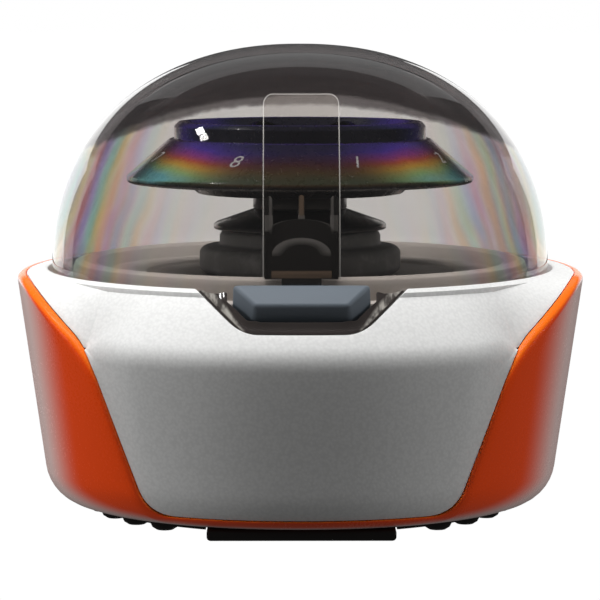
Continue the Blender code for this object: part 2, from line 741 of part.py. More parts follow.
def make_lower_shell(paint, parent):
    shell = body_solid("outer", 0, 0)
    shell.name = "lower_shell"
    cut(shell, body_solid("inner", SHELL_WALL, SHELL_FLOOR, lid_up=True))
    cut(shell, panel_prism("panel_hole", SEAM))
    floor_top = FLOOR_Z + SHELL_FLOOR
    for side in (-1, 1):
        x = side * (BOARD_LENGTH / 2 - BOARD_POST_INSET)
        start = (x, BOARD_BACK, floor_top - SHELL_FLOOR / 2)
        end = (x, BOARD_BACK, BOARD_Z - GAP)
        join(shell, cylinder("post", BOARD_POST_RADIUS, start, end, SCREW_STEPS, helper=True))
        hole = SCREW_RADIUS + SCREW_CLEARANCE
        screw_hole(shell, x, BOARD_BACK, floor_top, BOARD_Z, hole)
    for x, y in POST_PLACES:
        head = SCREW_HEAD_RADIUS + SCREW_CLEARANCE
        screw_hole(shell, x, y, 0, FLOOR_Z + SCREW_HEAD_HEIGHT, head)
        screw_hole(shell, x, y, 0, floor_top + GAP, SCREW_RADIUS + SCREW_CLEARANCE)
    start = (0, -JACK_LENGTH, 0)
    hole = cylinder("jack_hole", JACK_RADIUS + GAP, start, (0, OVERRUN, 0), ROUND_STEPS // 2, helper=True)
    hole.data.transform(wall_frame(-JACK_SIDE))
    cut(shell, hole)
    wide = SWITCH_HALF_WIDTH + GAP
    high = SWITCH_HALF_HEIGHT + GAP
    hole = box("switch_hole", (-wide, -SWITCH_DEPTH, -high), (wide, OVERRUN, high), helper=True)
    hole.data.transform(wall_frame(SWITCH_SIDE))
    cut(shell, hole)
    show(shell)
    return finish(shell, paint, parent, smooth=True)


def make_body_cover(paint, parent):
    cover = body_solid("cover_outer", 0, 0)
    cover.name = "body_cover"
    cut(cover, body_solid("cover_inner", COVER_WALL, SHELL_FLOOR))
    inside = body_solid("inside", SHELL_WALL + SEAM, SHELL_FLOOR, lid_up=True)
    join(inside, panel_prism("panel", 0))
    keep_inside(cover, inside)
    skirt_top = DECK_Z - COVER_WALL / 2
    skirt_bottom = DECK_Z - SKIRT_DEPTH
    outer = RECESS_RADIUS + SKIRT_WALL
    inner = RECESS_RADIUS - LEDGE_WIDTH
    ledge_top = skirt_bottom + LEDGE_THICKNESS
    section = [(outer, skirt_top), (outer, skirt_bottom), (inner, skirt_bottom), (inner, skirt_top)]
    skirt = turned("skirt", section, CHAMBER_STEPS, helper=True)
    keep_inside(skirt, body_solid("under_deck", COVER_WALL / 2, SHELL_FLOOR))
    keep_inside(skirt, body_solid("in_shell", SHELL_WALL + SEAM, SHELL_FLOOR, lid_up=True))
    join(cover, skirt)
    start = (0, 0, ledge_top)
    end = (0, 0, DECK_Z + OVERRUN)
    cut(cover, cylinder("recess", RECESS_RADIUS, start, end, CHAMBER_STEPS, helper=True))
    cut(cover, bezel_prism("bezel_hole", SEAM))
    show(cover)
    return finish(cover, paint, parent, smooth=True)


def make_chamber_bowl(paint, parent):
    rim_top = DECK_Z + RIM_HEIGHT
    wall = CHAMBER_WALL
    floor = CHAMBER_FLOOR_Z
    step = floor + CHAMBER_STEP
    under = CHAMBER_UNDERSIDE
    flange_bottom = FLANGE_TOP - FLANGE_THICKNESS
    round_off = RIM_HEIGHT / 4
    outline = [
        (RIM_MIDDLE_RADIUS, rim_top),
        (RIM_OUTER_RADIUS - round_off, rim_top - round_off),
        (RIM_OUTER_RADIUS, DECK_Z),
        (RIM_OUTER_RADIUS, FLANGE_TOP),
        (FLANGE_RADIUS, FLANGE_TOP),
        (FLANGE_RADIUS, flange_bottom),
        (RIM_INNER_RADIUS, flange_bottom),
        (RIM_INNER_RADIUS - wall, under),
        (CHAMBER_BORE, under),
        (CHAMBER_BORE, floor),
        (CHAMBER_STEP_RADIUS - CHAMBER_STEP, floor),
        (CHAMBER_STEP_RADIUS, step),
        (RIM_INNER_RADIUS - wall, step),
        (RIM_INNER_RADIUS + round_off, rim_top - round_off),
    ]
    bowl = turned("chamber_bowl", outline, CHAMBER_STEPS)
    post_bottom = FLOOR_Z + SHELL_FLOOR + GAP
    for x, y in POST_PLACES:
        top = (x, y, flange_bottom + FLANGE_THICKNESS / 2)
        join(bowl, cylinder("post", POST_RADIUS, (x, y, post_bottom), top, SCREW_STEPS, helper=True))
        grip = post_bottom + CASE_SCREW_GRIP + GAP
        screw_hole(bowl, x, y, FLOOR_Z, grip, SCREW_RADIUS + SCREW_CLEARANCE)
    for x, y in damper_places():
        screw_hole(bowl, x, y, under - GAP, floor + GAP, SCREW_RADIUS + SCREW_CLEARANCE)
    slot = HOOK_HALF_WIDTH + 4 * GAP
    low = (-slot, -FLANGE_RADIUS - OVERRUN, under - OVERRUN)
    high = (slot, -RIM_OUTER_RADIUS, DECK_Z + RIM_HEIGHT + OVERRUN)
    cut(bowl, box("hook_slot", low, high, helper=True))
    return finish(bowl, paint, parent, smooth=True)


# Feet


def make_foot_ring(paint, parent):
    """One rubber ring with rounded studs under the shell's floor."""
    top = FLOOR_Z - GAP
    pad = top - FOOT_PAD_THICKNESS
    outer = STUD_CIRCLE + FOOT_PAD_HALF_WIDTH
    inner = STUD_CIRCLE - FOOT_PAD_HALF_WIDTH
    outline = [(outer, top), (outer, pad), (inner, pad), (inner, top)]
    ring = turned("foot_ring", outline, STUD_COUNT)
    shape = bmesh.new()
    clear_of_bar = FOOT_BAR_HALF_LENGTH + STUD_RADIUS
    for i in range(STUD_COUNT):
        angle = 2 * math.pi * (i + 0.5) / STUD_COUNT
        place = Vector((math.cos(angle), math.sin(angle), 0)) * STUD_CIRCLE
        if place.y < 0 and abs(place.x) < clear_of_bar:
            continue
        height = pad + FOOT_PAD_THICKNESS / 2
        place.z = height / 2
        bmesh.ops.create_cone(
            shape,
            cap_ends=True,
            segments=STUD_SIDES,
            radius1=STUD_TOP_RADIUS,
            radius2=STUD_RADIUS,
            depth=height,
            matrix=Matrix.Translation(place),
        )
    join(ring, from_bmesh("studs", shape, helper=True))
    ring.data.transform(Matrix.Translation((0, -STUD_CIRCLE_BACK, 0)))
    cut(ring, foot_bar_box("bar_gap", GAP, helper=True))
    return finish(ring, paint, parent, smooth=True)


def foot_bar_box(name, grow, helper=False):
    front = -FOOT_BAR_REACH
    low = (-FOOT_BAR_HALF_LENGTH - grow, front - grow, -grow)
    high = (FOOT_BAR_HALF_LENGTH + grow, front + FOOT_BAR_WIDTH + grow, FLOOR_Z - GAP + grow)
    return box(name, low, high, helper)


def make_front_foot_bar(paint, parent):
    """A flat rubber bar across the front, in place of the studs there."""
    bar = bevel(foot_bar_box("front_foot_bar", 0), FOOT_PAD_THICKNESS)
    return finish(bar, paint, parent)


# Drive


def damper_places():
    """Where the motor's three rubber mounts stand."""
    places = []
    for i in range(DAMPER_COUNT):
        angle = 2 * math.pi * i / DAMPER_COUNT + math.pi / 2
        places.append((DAMPER_CIRCLE * math.cos(angle), DAMPER_CIRCLE * math.sin(angle)))
    return places


def make_motor_boot(paint, parent):
    """The stepped rubber boot that closes the chamber's bore."""
    base_top = DECK_Z + BOOT_BASE_TOP
    ring_top = DECK_Z + BOOT_RING_TOP
    bottom = CHAMBER_FLOOR_Z + GAP
    outline = [
        (BOOT_RING_RADIUS - BOOT_ROUND, ring_top),
        (BOOT_RING_RADIUS, ring_top - BOOT_ROUND),
        (BOOT_RING_RADIUS, base_top + BOOT_ROUND / 2),
        (BOOT_BASE_RADIUS - BOOT_ROUND, base_top),
        (BOOT_BASE_RADIUS, base_top - BOOT_ROUND),
        (BOOT_BASE_RADIUS, bottom + BOOT_ROUND),
        (BOOT_BASE_RADIUS - BOOT_ROUND, bottom),
        (BOOT_FOOT_RADIUS, bottom),
        (BOOT_FOOT_RADIUS, ring_top - BOOT_WALL),
        (CAP_BORE, ring_top - BOOT_WALL),
        (CAP_BORE, ring_top),
    ]
    boot = turned("motor_boot", outline, ROUND_STEPS)
    return finish(boot, paint, parent, smooth=True)


def make_boot_cap(paint, parent):
    bottom = DECK_Z + BOOT_RING_TOP + GAP
    lip_top = bottom + CAP_LIP_HEIGHT
    top = DECK_Z + CAP_TOP
    outline = [
        (HUB_RADIUS, top),
        (CAP_LIP_RADIUS - CAP_LIP_HEIGHT / 2, lip_top),
        (CAP_LIP_RADIUS, lip_top - CAP_LIP_HEIGHT / 3),
        (CAP_LIP_RADIUS, bottom),
        (CAP_BORE, bottom),
        (CAP_BORE, top),
    ]
    cap = turned("boot_cap", outline, ROUND_STEPS)
    return finish(cap, paint, parent, smooth=True)


def make_motor_can(paint, parent):
    neck = MOTOR_TOP + BEARING_HEIGHT
    bore = SHAFT_RADIUS + SHAFT_CLEARANCE
    outline = [
        (BEARING_RADIUS, neck),
        (BEARING_RADIUS, MOTOR_TOP),
        (MOTOR_RADIUS - MOTOR_ROUND, MOTOR_TOP),
        (MOTOR_RADIUS, MOTOR_TOP - MOTOR_ROUND),
        (MOTOR_RADIUS, MOTOR_BOTTOM),
        (bore, MOTOR_BOTTOM),
        (bore, neck),
    ]
    can = turned("motor_can", outline, ROUND_STEPS)
    return finish(can, paint, parent, smooth=True)


def make_motor_endcap(paint, parent):
    top = MOTOR_BOTTOM - GAP
    bottom = top - ENDCAP_HEIGHT
    rim = ENDCAP_RADIUS - MOTOR_ROUND / 2
    outline = [
        (0, top),
        (ENDCAP_RADIUS, top),
        (ENDCAP_RADIUS, bottom + MOTOR_ROUND / 2),
        (rim, bottom),
        (0, bottom),
    ]
    cap = turned("motor_endcap", outline, ROUND_STEPS // 2)
    return finish(cap, paint, parent, smooth=True)


def make_motor_plate(paint, parent):
    bottom = MOTOR_PLATE_TOP - MOTOR_PLATE_THICKNESS
    bore = BEARING_RADIUS + 2 * GAP
    outline = [
        (MOTOR_PLATE_RADIUS, MOTOR_PLATE_TOP),
        (MOTOR_PLATE_RADIUS, bottom),
        (bore, bottom),
        (bore, MOTOR_PLATE_TOP),
    ]
    plate = turned("motor_plate", outline, ROUND_STEPS)
    for x, y in damper_places():
        hole = SCREW_RADIUS + SCREW_CLEARANCE
        screw_hole(plate, x, y, bottom - GAP, MOTOR_PLATE_TOP + GAP, hole)
    return finish(plate, paint, parent, smooth=True)


def make_motor_damper(index, paint, parent):
    x, y = damper_places()[index]
    bottom = MOTOR_PLATE_TOP + GAP
    bore = SCREW_RADIUS + SCREW_CLEARANCE
    top = bottom + DAMPER_HEIGHT
    waist = DAMPER_RADIUS - BOOT_ROUND / 2
    third = DAMPER_HEIGHT / 3
    outline = [
        (DAMPER_RADIUS, top),
        (DAMPER_RADIUS, top - third),
        (waist, top - third),
        (waist, bottom + third),
        (DAMPER_RADIUS, bottom + third),
        (DAMPER_RADIUS, bottom),
        (bore, bottom),
        (bore, top),
    ]
    damper = turned(f"motor_damper_{index + 1}", outline, SCREW_STEPS)
    damper.data.transform(Matrix.Translation((x, y, 0)))
    return finish(damper, paint, parent, smooth=True)


def make_screw(name, place, length, up, paint, parent):
    """A pan-head screw. place is the middle of the head's inner face, and up is 1 if the shank runs up."""
    outline = [
        (0, length),
        (SCREW_RADIUS, length),
        (SCREW_RADIUS, 0),
        (SCREW_HEAD_RADIUS, 0),
        (SCREW_HEAD_RADIUS, -SCREW_HEAD_HEIGHT),
        (SCREW_SOCKET_RADIUS, -SCREW_HEAD_HEIGHT),
        (SCREW_SOCKET_RADIUS, SCREW_SOCKET_DEPTH - SCREW_HEAD_HEIGHT),
        (0, SCREW_SOCKET_DEPTH - SCREW_HEAD_HEIGHT),
    ]
    screw = turned(name, outline, SCREW_STEPS)
    if up < 0:
        screw.data.transform(Matrix.Rotation(math.pi, 4, "X"))
    screw.data.transform(Matrix.Translation(place))
    return finish(screw, paint, parent, smooth=True)


def make_screws(paint, parent):
    plate_bottom = MOTOR_PLATE_TOP - MOTOR_PLATE_THICKNESS
    for i, (x, y) in enumerate(damper_places()):
        place = (x, y, plate_bottom - GAP)
        make_screw(f"motor_screw_{i + 1}", place, CHAMBER_FLOOR_Z - plate_bottom, 1, paint, parent)
    for i, (x, y) in enumerate(POST_PLACES):
        place = (x, y, FLOOR_Z + SCREW_HEAD_HEIGHT - GAP / 2)
        make_screw(f"case_screw_{i + 1}", place, CASE_SCREW_GRIP, 1, paint, parent)
    for i, side in enumerate((-1, 1)):
        x = side * (BOARD_LENGTH / 2 - BOARD_POST_INSET)
        place = (x, BOARD_BACK, BOARD_Z + BOARD_THICKNESS + GAP)
        make_screw(f"board_screw_{i + 1}", place, BOARD_SCREW_GRIP, -1, paint, parent)


# Rotor


def make_rotor_disc(paint, parent):
    lip_bottom = DECK_Z + ROTOR_LIP_BOTTOM
    lip_top = lip_bottom + ROTOR_LIP_HEIGHT
    top = DECK_Z + ROTOR_TOP
    floor_top = DECK_Z + ROTOR_FLOOR_TOP
    floor_bottom = DECK_Z + ROTOR_FLOOR_BOTTOM
    mouth = top - ROTOR_MOUTH_DROP
    inner = ROTOR_MOUTH_RADIUS - (mouth - floor_top)
    outline = [
        (ROTOR_MOUTH_RADIUS + ROTOR_BUMP_ROUND / 2, top),
        (ROTOR_BUMP_RADIUS - ROTOR_BUMP_ROUND, top),
        (ROTOR_BUMP_RADIUS, top - ROTOR_BUMP_ROUND),
        (ROTOR_BUMP_RADIUS, DECK_Z + ROTOR_CONE_TOP),
        (ROTOR_CONE_TOP_RADIUS, DECK_Z + ROTOR_CONE_TOP),
        (ROTOR_RADIUS - ROTOR_LIP_ROUND, lip_top + ROTOR_LIP_ROUND),
        (ROTOR_RADIUS, lip_top),
        (ROTOR_RADIUS, lip_bottom + ROTOR_LIP_ROUND),
        (ROTOR_RADIUS - ROTOR_LIP_ROUND, lip_bottom),
        (ROTOR_FLOOR_RADIUS + ROTOR_LIP_BOTTOM - ROTOR_FLOOR_BOTTOM, lip_bottom),
        (ROTOR_FLOOR_RADIUS, floor_bottom),
        (ROTOR_BORE, floor_bottom),
        (ROTOR_BORE, floor_top),
        (inner, floor_top),
        (ROTOR_MOUTH_RADIUS, mouth),
    ]
    disc = turned("rotor_disc", outline, TUBE_PLACES * 5)
    mouth_z = mouth - (ROTOR_MOUTH_RADIUS - TUBE_MOUTH_RADIUS)
    reach = ROTOR_RADIUS
    for i in range(TUBE_PLACES):
        turn = 2 * math.pi * i / TUBE_PLACES + FIRST_PLACE_ANGLE - math.pi / 2
        out = Vector((math.cos(turn), math.sin(turn), 0))
        along = out * math.sin(TUBE_ANGLE) - Vector((0, 0, 1)) * math.cos(TUBE_ANGLE)
        mouth_place = out * TUBE_MOUTH_RADIUS + Vector((0, 0, mouth_z))
        start = mouth_place - along * OVERRUN
        end = mouth_place + along * reach / 2
        cut(disc, cylinder("tube_hole", TUBE_HOLE_RADIUS, start, end, SCREW_STEPS + 2, helper=True))
    return finish(disc, paint, parent, smooth=True)


def make_rotor_hub(paint, parent):
    bottom = DECK_Z + CAP_TOP + HUB_CLEARANCE
    floor = DECK_Z + ROTOR_FLOOR_BOTTOM - GAP
    spigot = ROTOR_BORE - GAP
    top = DECK_Z + HUB_SPIGOT_TOP
    bore = SHAFT_RADIUS + SHAFT_CLEARANCE
    outline = [
        (spigot, top),
        (spigot, floor),
        (HUB_RADIUS, floor),
        (HUB_RADIUS, bottom),
        (bore, bottom),
        (bore, top),
    ]
    hub = turned("rotor_hub", outline, ROUND_STEPS * 3 // 4)
    return finish(hub, paint, parent, smooth=True)


def make_rotor_knob(paint, parent):
    bottom = DECK_Z + ROTOR_FLOOR_TOP + GAP
    top = DECK_Z + KNOB_TOP
    ceiling = DECK_Z + KNOB_BORE_TOP
    bore = ROTOR_BORE
    outline = [
        (0, top),
        (KNOB_RADIUS - KNOB_ROUND, top),
        (KNOB_RADIUS, top - KNOB_ROUND),
        (KNOB_RADIUS, bottom),
        (bore, bottom),
        (bore, ceiling),
        (0, ceiling),
    ]
    knob = turned("rotor_knob", outline, ROUND_STEPS // 2)
    return finish(knob, paint, parent, smooth=True)


def make_motor_shaft(paint, parent):
    low = (0, 0, MOTOR_BOTTOM + GAP)
    shaft = cylinder("motor_shaft", SHAFT_RADIUS, low, (0, 0, SHAFT_TOP), SCREW_STEPS)
    return finish(shaft, paint, parent, smooth=True)


# Electrics


def make_control_board(paint, parent):
    back = BOARD_BACK
    half = BOARD_LENGTH / 2
    top = BOARD_Z + BOARD_THICKNESS
    front = back - BOARD_DEPTH / 2
    rear = back + BOARD_DEPTH / 2
    board = box("control_board", (-half, front, BOARD_Z), (half, rear, top))
    sink = BOARD_THICKNESS / 2
    for side in (-1, 1):
        x = side * (half - BOARD_POST_INSET)
        screw_hole(board, x, back, BOARD_Z - GAP, top + GAP, SCREW_RADIUS + SCREW_CLEARANCE)
        x = side * CHIP_SIZE
        y = back + side * CHIP_SIZE / 3
        start = (x, y, top - sink)
        end = (x, y, top + CAPACITOR_HEIGHT)
        join(board, cylinder("capacitor", CAPACITOR_RADIUS, start, end, SCREW_STEPS, helper=True))
    low = (-CHIP_SIZE / 3, back - CHIP_SIZE, top - sink)
    high = (CHIP_SIZE * 2 / 3, back - CHIP_SIZE / 6, top + CHIP_HEIGHT)
    join(board, box("chip", low, high, helper=True))
    low = (-half + TERMINAL_SIZE, front + GAP, top - sink)
    high = (-half + 2 * TERMINAL_SIZE, front + TERMINAL_SIZE, top + TERMINAL_SIZE)
    join(board, box("terminal", low, high, helper=True))
    return finish(board, paint, parent)


def make_motor_lead(name, side, paint, parent):
    """A wire from the motor's end to the terminal block on the board."""
    terminal_x = -BOARD_LENGTH / 2 + TERMINAL_SIZE * 3 / 2 + side * TERMINAL_SIZE / 4
    terminal_y = BOARD_BACK - BOARD_DEPTH / 2 + GAP
    terminal_z = BOARD_Z + BOARD_THICKNESS + TERMINAL_SIZE / 2
    start_z = MOTOR_BOTTOM - GAP - ENDCAP_HEIGHT - GAP
    start = Vector((side * LEAD_SPREAD / 2 - LEAD_SPREAD, LEAD_SPREAD, start_z))
    end = Vector((terminal_x, terminal_y - GAP, terminal_z))
    down = Vector((0, 0, -LEAD_SPREAD))
    back = Vector((0, (start.y - end.y) * LEAD_EASE_SHARE, 0))
    points = []
    for i in range(LEAD_STEPS + 1):
        t = i / LEAD_STEPS
        a = start * (1 - t) ** 3 + (start + down) * 3 * t * (1 - t) ** 2
        b = (end + back) * 3 * t**2 * (1 - t) + end * t**3
        points.append(a + b)
    return finish(wire(name, points, LEAD_RADIUS, 1), paint, parent, smooth=True)


def wire(name, points, radius, resolution):
    """A tube through points, with closed ends."""
    curve = bpy.data.curves.new(name, "CURVE")
    curve.dimensions = "3D"
    curve.bevel_depth = radius
    curve.bevel_resolution = resolution
    curve.use_fill_caps = True
    spline = curve.splines.new("POLY")
    spline.points.add(len(points) - 1)
    for point, place in zip(spline.points, points):
        point.co = (*place, 1)
    obj = bpy.data.objects.new(name, curve)
    bpy.data.collections["mini_centrifuge"].objects.link(obj)
    return as_mesh_object(obj, name)


def rear_wall(x, z):
    """How far back the outer face of the rear wall is."""
    lean = lean_in(z, SIDE_LEAN)
    share = (1 - (abs(x) / (BODY_HALF_WIDTH - lean)) ** OUTLINE_POWER) ** (1 / OUTLINE_POWER)
    return (BODY_REAR + BODY_MIDDLE_BACK - lean) * share - BODY_MIDDLE_BACK


def wall_frame(x):
    """A frame on the rear wall at the fittings' height: its Y points out of the wall, and its Z up it."""
    z = REAR_FITTINGS_Z
    here = Vector((x, rear_wall(x, z), z))
    across = (Vector((x + GAP, rear_wall(x + GAP, z), z)) - here).normalized()
    up = (Vector((x, rear_wall(x, z + GAP), z + GAP)) - here).normalized()
    out = up.cross(across).normalized()
    turn = Matrix((across, out, across.cross(out))).transposed().to_4x4()
    return Matrix.Translation(here) @ turn


def make_dc_jack(paint, parent):
    face = GAP
    front = face - JACK_LENGTH
    end = face + JACK_FLANGE_THICKNESS
    jack = cylinder("dc_jack", JACK_RADIUS, (0, front, 0), (0, end - GAP, 0), ROUND_STEPS // 2)
    ring = (0, face, 0)
    rim = (0, end, 0)
    join(jack, cylinder("flange", JACK_FLANGE_RADIUS, ring, rim, ROUND_STEPS // 2, helper=True))
    back = front + JACK_BACK_WALL
    cut(jack, cylinder("bore", JACK_BORE, (0, back, 0), (0, end + OVERRUN, 0), SCREW_STEPS, helper=True))
    pin = (0, front + JACK_BACK_WALL / 2, 0)
    join(jack, cylinder("pin", JACK_PIN, pin, (0, face, 0), SCREW_STEPS // 2 + 1, helper=True))
    jack.data.transform(wall_frame(-JACK_SIDE))
    return finish(jack, paint, parent, smooth=True)


def make_switch_housing(paint, parent):
    face = GAP
    wide = SWITCH_HALF_WIDTH
    high = SWITCH_HALF_HEIGHT
    housing = box("switch_housing", (-wide, face - SWITCH_DEPTH, -high), (wide, face + GAP, high))
    rim = SWITCH_RIM
    low = (-wide - rim, face, -high - rim)
    join(housing, box("rim", low, (wide + rim, face + SWITCH_RIM_THICKNESS, high + rim), helper=True))
    wall = SWITCH_WALL
    low = (-wide + wall, face - SWITCH_DEPTH + 2 * wall, -high + wall)
    cut(housing, box("well", low, (wide - wall, face + OVERRUN, high - wall), helper=True))
    housing.data.transform(wall_frame(SWITCH_SIDE))
    return finish(housing, paint, parent)


def rocker_pivot():
    return wall_frame(SWITCH_SIDE) @ Vector((0, GAP - ROCKER_PIVOT_DEPTH, 0))


def make_power_rocker(paint, parent):
    """A rocker with a shallow V face, tipped so that its lower half stands proud."""
    half = SWITCH_HALF_HEIGHT - SWITCH_WALL - ROCKER_CLEARANCE
    wide = SWITCH_HALF_WIDTH - SWITCH_WALL - ROCKER_CLEARANCE
    face = SWITCH_RIM_THICKNESS + ROCKER_PIVOT_DEPTH
    outline = [
        (-ROCKER_DEPTH / 2, -half / 2),
        (face - ROCKER_PROUD / 2, -half),
        (face + ROCKER_PROUD, -half),
        (face, 0),
        (face + ROCKER_PROUD, half),
        (face - ROCKER_PROUD / 2, half),
        (-ROCKER_DEPTH / 2, half / 2),
    ]
    rocker = prism("power_rocker", outline, -wide, wide, "X")
    rocker.data.transform(Matrix.Rotation(ROCKER_TILT, 4, "X"))
    rocker.data.transform(Matrix.Translation((0, GAP - ROCKER_PIVOT_DEPTH, 0)))
    rocker.data.transform(wall_frame(SWITCH_SIDE))
    return finish(rocker, paint, parent)


def make_lid_sensor(paint, parent):
    """The small sensor under the chamber's flange that feels the lid's magnet."""
    wide, deep, tall = SENSOR_SIZE
    top = FLANGE_TOP - FLANGE_THICKNESS - GAP
    front = -RIM_OUTER_RADIUS
    low = (SENSOR_SIDE - wide / 2, front, top - tall)
    high = (SENSOR_SIDE + wide / 2, front + deep, top)
    return finish(box("lid_sensor", low, high), paint, parent)


# Lid


def dome_radius_at(height, inset):
    """Radius of the dome at a height above the deck, with its wall's inner side for an inset."""
    share = min(1, max(0, height / (DOME_HEIGHT - inset)))
    return (DOME_RADIUS - inset) * (1 - share**DOME_POWER) ** (1 / DOME_POWER)


def dome_profile(inset, rings):
    """Points of the dome's section from its top to the deck."""
    points = []
    for i in range(rings + 1):
        angle = math.pi / 2 * i / rings
        power = 2 / DOME_POWER
        radius = (DOME_RADIUS - inset) * math.sin(angle) ** power
        z = DECK_Z + (DOME_HEIGHT - inset) * math.cos(angle) ** power
        points.append((0 if i == 0 else radius, DECK_Z if i == rings else z))
    return points


def window_cutter():
    """The slab that takes a flat strip off the dome's front, to the window's depth."""
    inner = []
    for i in range(DOME_RINGS + 1):
        height = WINDOW_BOTTOM + (WINDOW_TOP - WINDOW_BOTTOM) * i / DOME_RINGS
        inner.append((-dome_radius_at(height, 0) + WINDOW_RECESS, DECK_Z + height))
    far = -DOME_RADIUS - OVERRUN
    outline = inner + [(far, DECK_Z + WINDOW_TOP), (far, DECK_Z + WINDOW_BOTTOM)]
    return prism("window", outline, -WINDOW_HALF_WIDTH, WINDOW_HALF_WIDTH, "X", helper=True)


def make_lid_dome(paint, parent):
    seat = DECK_Z - DOME_SEAT_DEPTH
    outer = dome_profile(0, DOME_RINGS)
    inner = dome_profile(DOME_WALL, DOME_RINGS)
    outline = outer + [(DOME_RADIUS, seat), (DOME_RADIUS - DOME_WALL, seat)] + inner[::-1]
    dome = turned("lid_dome", outline, DOME_STEPS)
    cut(dome, window_cutter())
    return finish(dome, paint, parent, smooth=True)


def striker_reach(height):
    """How far forward the striker may stand at a height above the deck, clear of the dome's wall."""
    radius = dome_radius_at(height, DOME_WALL) - 2 * GAP
    return math.sqrt(radius**2 - STRIKER_HALF_WIDTH**2)


def striker_lean():
    back = striker_reach(STRIKER_BOTTOM) - striker_reach(STRIKER_RIB_TOP)
    return math.atan2(back, STRIKER_RIB_TOP - STRIKER_BOTTOM)


def make_latch_striker(paint, parent):
    """The moulding inside the dome's front: an arched plate, its ribs, and the hook below it."""
    lean = striker_lean()
    front = -striker_reach(STRIKER_BOTTOM)
    low_z = DECK_Z + STRIKER_BOTTOM
    half = STRIKER_HALF_WIDTH
    arch = [(half, low_z), (half, DECK_Z + STRIKER_TOP)]
    for i in range(1, STRIKER_ARCH_STEPS):
        share = i / STRIKER_ARCH_STEPS
        x = half * (1 - 2 * share)
        arch.append((x, DECK_Z + STRIKER_TOP + STRIKER_ARCH * math.sin(math.pi * share)))
    arch += [(-half, DECK_Z + STRIKER_TOP), (-half, low_z)]
    striker = prism("latch_striker", arch, front, front + STRIKER_THICKNESS, "Y")
    for side in (-1, 1):
        edge = side * half
        inner = side * (half - STRIKER_RIB_WIDTH)
        low = (min(edge, inner), front - GAP / 3, low_z)
        high = (max(edge, inner), front + STRIKER_RIB_DEPTH, DECK_Z + STRIKER_RIB_TOP)
        join(striker, box("rib", low, high, helper=True))
    low = (-STRIKER_FIN_WIDTH / 2, front + GAP / 3, DECK_Z + STRIKER_TOP)
    high = (STRIKER_FIN_WIDTH / 2, front + STRIKER_RIB_DEPTH - GAP / 3, DECK_Z + STRIKER_FIN_TOP)
    join(striker, box("fin", low, high, helper=True))
    tilt = Matrix.Translation((0, front, low_z)) @ Matrix.Rotation(-lean, 4, "X")
    striker.data.transform(tilt @ Matrix.Translation((0, -front, -low_z)))
    low = (-HOOK_HALF_WIDTH, -HOOK_FRONT, HOOK_BOTTOM)
    high = (HOOK_HALF_WIDTH, -HOOK_FRONT + HOOK_THICKNESS, low_z + STRIKER_THICKNESS)
    join(striker, box("strap", low, high, helper=True))
    tip = -HOOK_FRONT - HOOK_LIP
    low = (-HOOK_HALF_WIDTH + GAP / 3, tip, HOOK_BOTTOM)
    high = (HOOK_HALF_WIDTH - GAP / 3, -HOOK_FRONT + HOOK_THICKNESS / 2, HOOK_BOTTOM + HOOK_LIP_HEIGHT)
    join(striker, box("lip", low, high, helper=True))
    return finish(striker, paint, parent)


def make_lid_magnet(paint, parent):
    height = STRIKER_RIB_DEPTH + 2 * MAGNET_RADIUS
    z = DECK_Z + STRIKER_BOTTOM + height
    plate_back = STRIKER_THICKNESS / math.cos(striker_lean())
    lean_back = (height + MAGNET_RADIUS) * math.tan(striker_lean())
    back = -striker_reach(STRIKER_BOTTOM) + plate_back + lean_back + GAP / 2
    end = back + MAGNET_THICKNESS
    magnet = cylinder("lid_magnet", MAGNET_RADIUS, (0, back, z), (0, end, z), SCREW_STEPS)
    return finish(magnet, paint, parent, smooth=True)


def make_lid_hinge_arm(paint, parent):
    """The knuckle and plate that carry the dome on the hinge pin."""
    knuckle_half = HINGE_EAR_INNER - GAP
    start = (-knuckle_half, HINGE_BACK, HINGE_Z)
    end = (knuckle_half, HINGE_BACK, HINGE_Z)
    arm = cylinder("lid_hinge_arm", KNUCKLE_RADIUS, start, end, ROUND_STEPS // 2)
    near = DOME_RADIUS + GAP
    low = (-ARM_HALF_WIDTH, near, DECK_Z + ARM_BOTTOM)
    high = (ARM_HALF_WIDTH, near + ARM_FRONT_DEPTH + GAP, DECK_Z + ARM_TOP)
    join(arm, box("plate", low, high, helper=True))
    bore = HINGE_PIN_RADIUS + HINGE_PIN_CLEARANCE
    start = (-knuckle_half - OVERRUN, HINGE_BACK, HINGE_Z)
    end = (knuckle_half + OVERRUN, HINGE_BACK, HINGE_Z)
    cut(arm, cylinder("bore", bore, start, end, SCREW_STEPS, helper=True))
    return finish(arm, paint, parent, smooth=True)


def make_hinge_ear(name, side, paint, parent):
    inner = side * HINGE_EAR_INNER
    outer = side * (HINGE_EAR_INNER + HINGE_EAR_WIDTH)
    start = (inner, HINGE_BACK, HINGE_Z)
    end = (outer, HINGE_BACK, HINGE_Z)
    ear = cylinder(name, HINGE_EAR_RADIUS, start, end, ROUND_STEPS // 2)
    foot_z = DECK_Z + GAP
    front = HINGE_BACK - HINGE_EAR_RADIUS
    low = (min(inner, outer) + GAP / 3, front, foot_z)
    high = (max(inner, outer) - GAP / 3, HINGE_BACK + HINGE_EAR_RADIUS / 2, HINGE_Z)
    join(ear, box("foot", low, high, helper=True))
    bore = HINGE_PIN_RADIUS + HINGE_PIN_CLEARANCE
    depth = HINGE_EAR_WIDTH * 2 / 3
    start = (inner - side * OVERRUN, HINGE_BACK, HINGE_Z)
    end = (inner + side * depth, HINGE_BACK, HINGE_Z)
    cut(ear, cylinder("bore", bore, start, end, SCREW_STEPS, helper=True))
    return finish(ear, paint, parent, smooth=True)


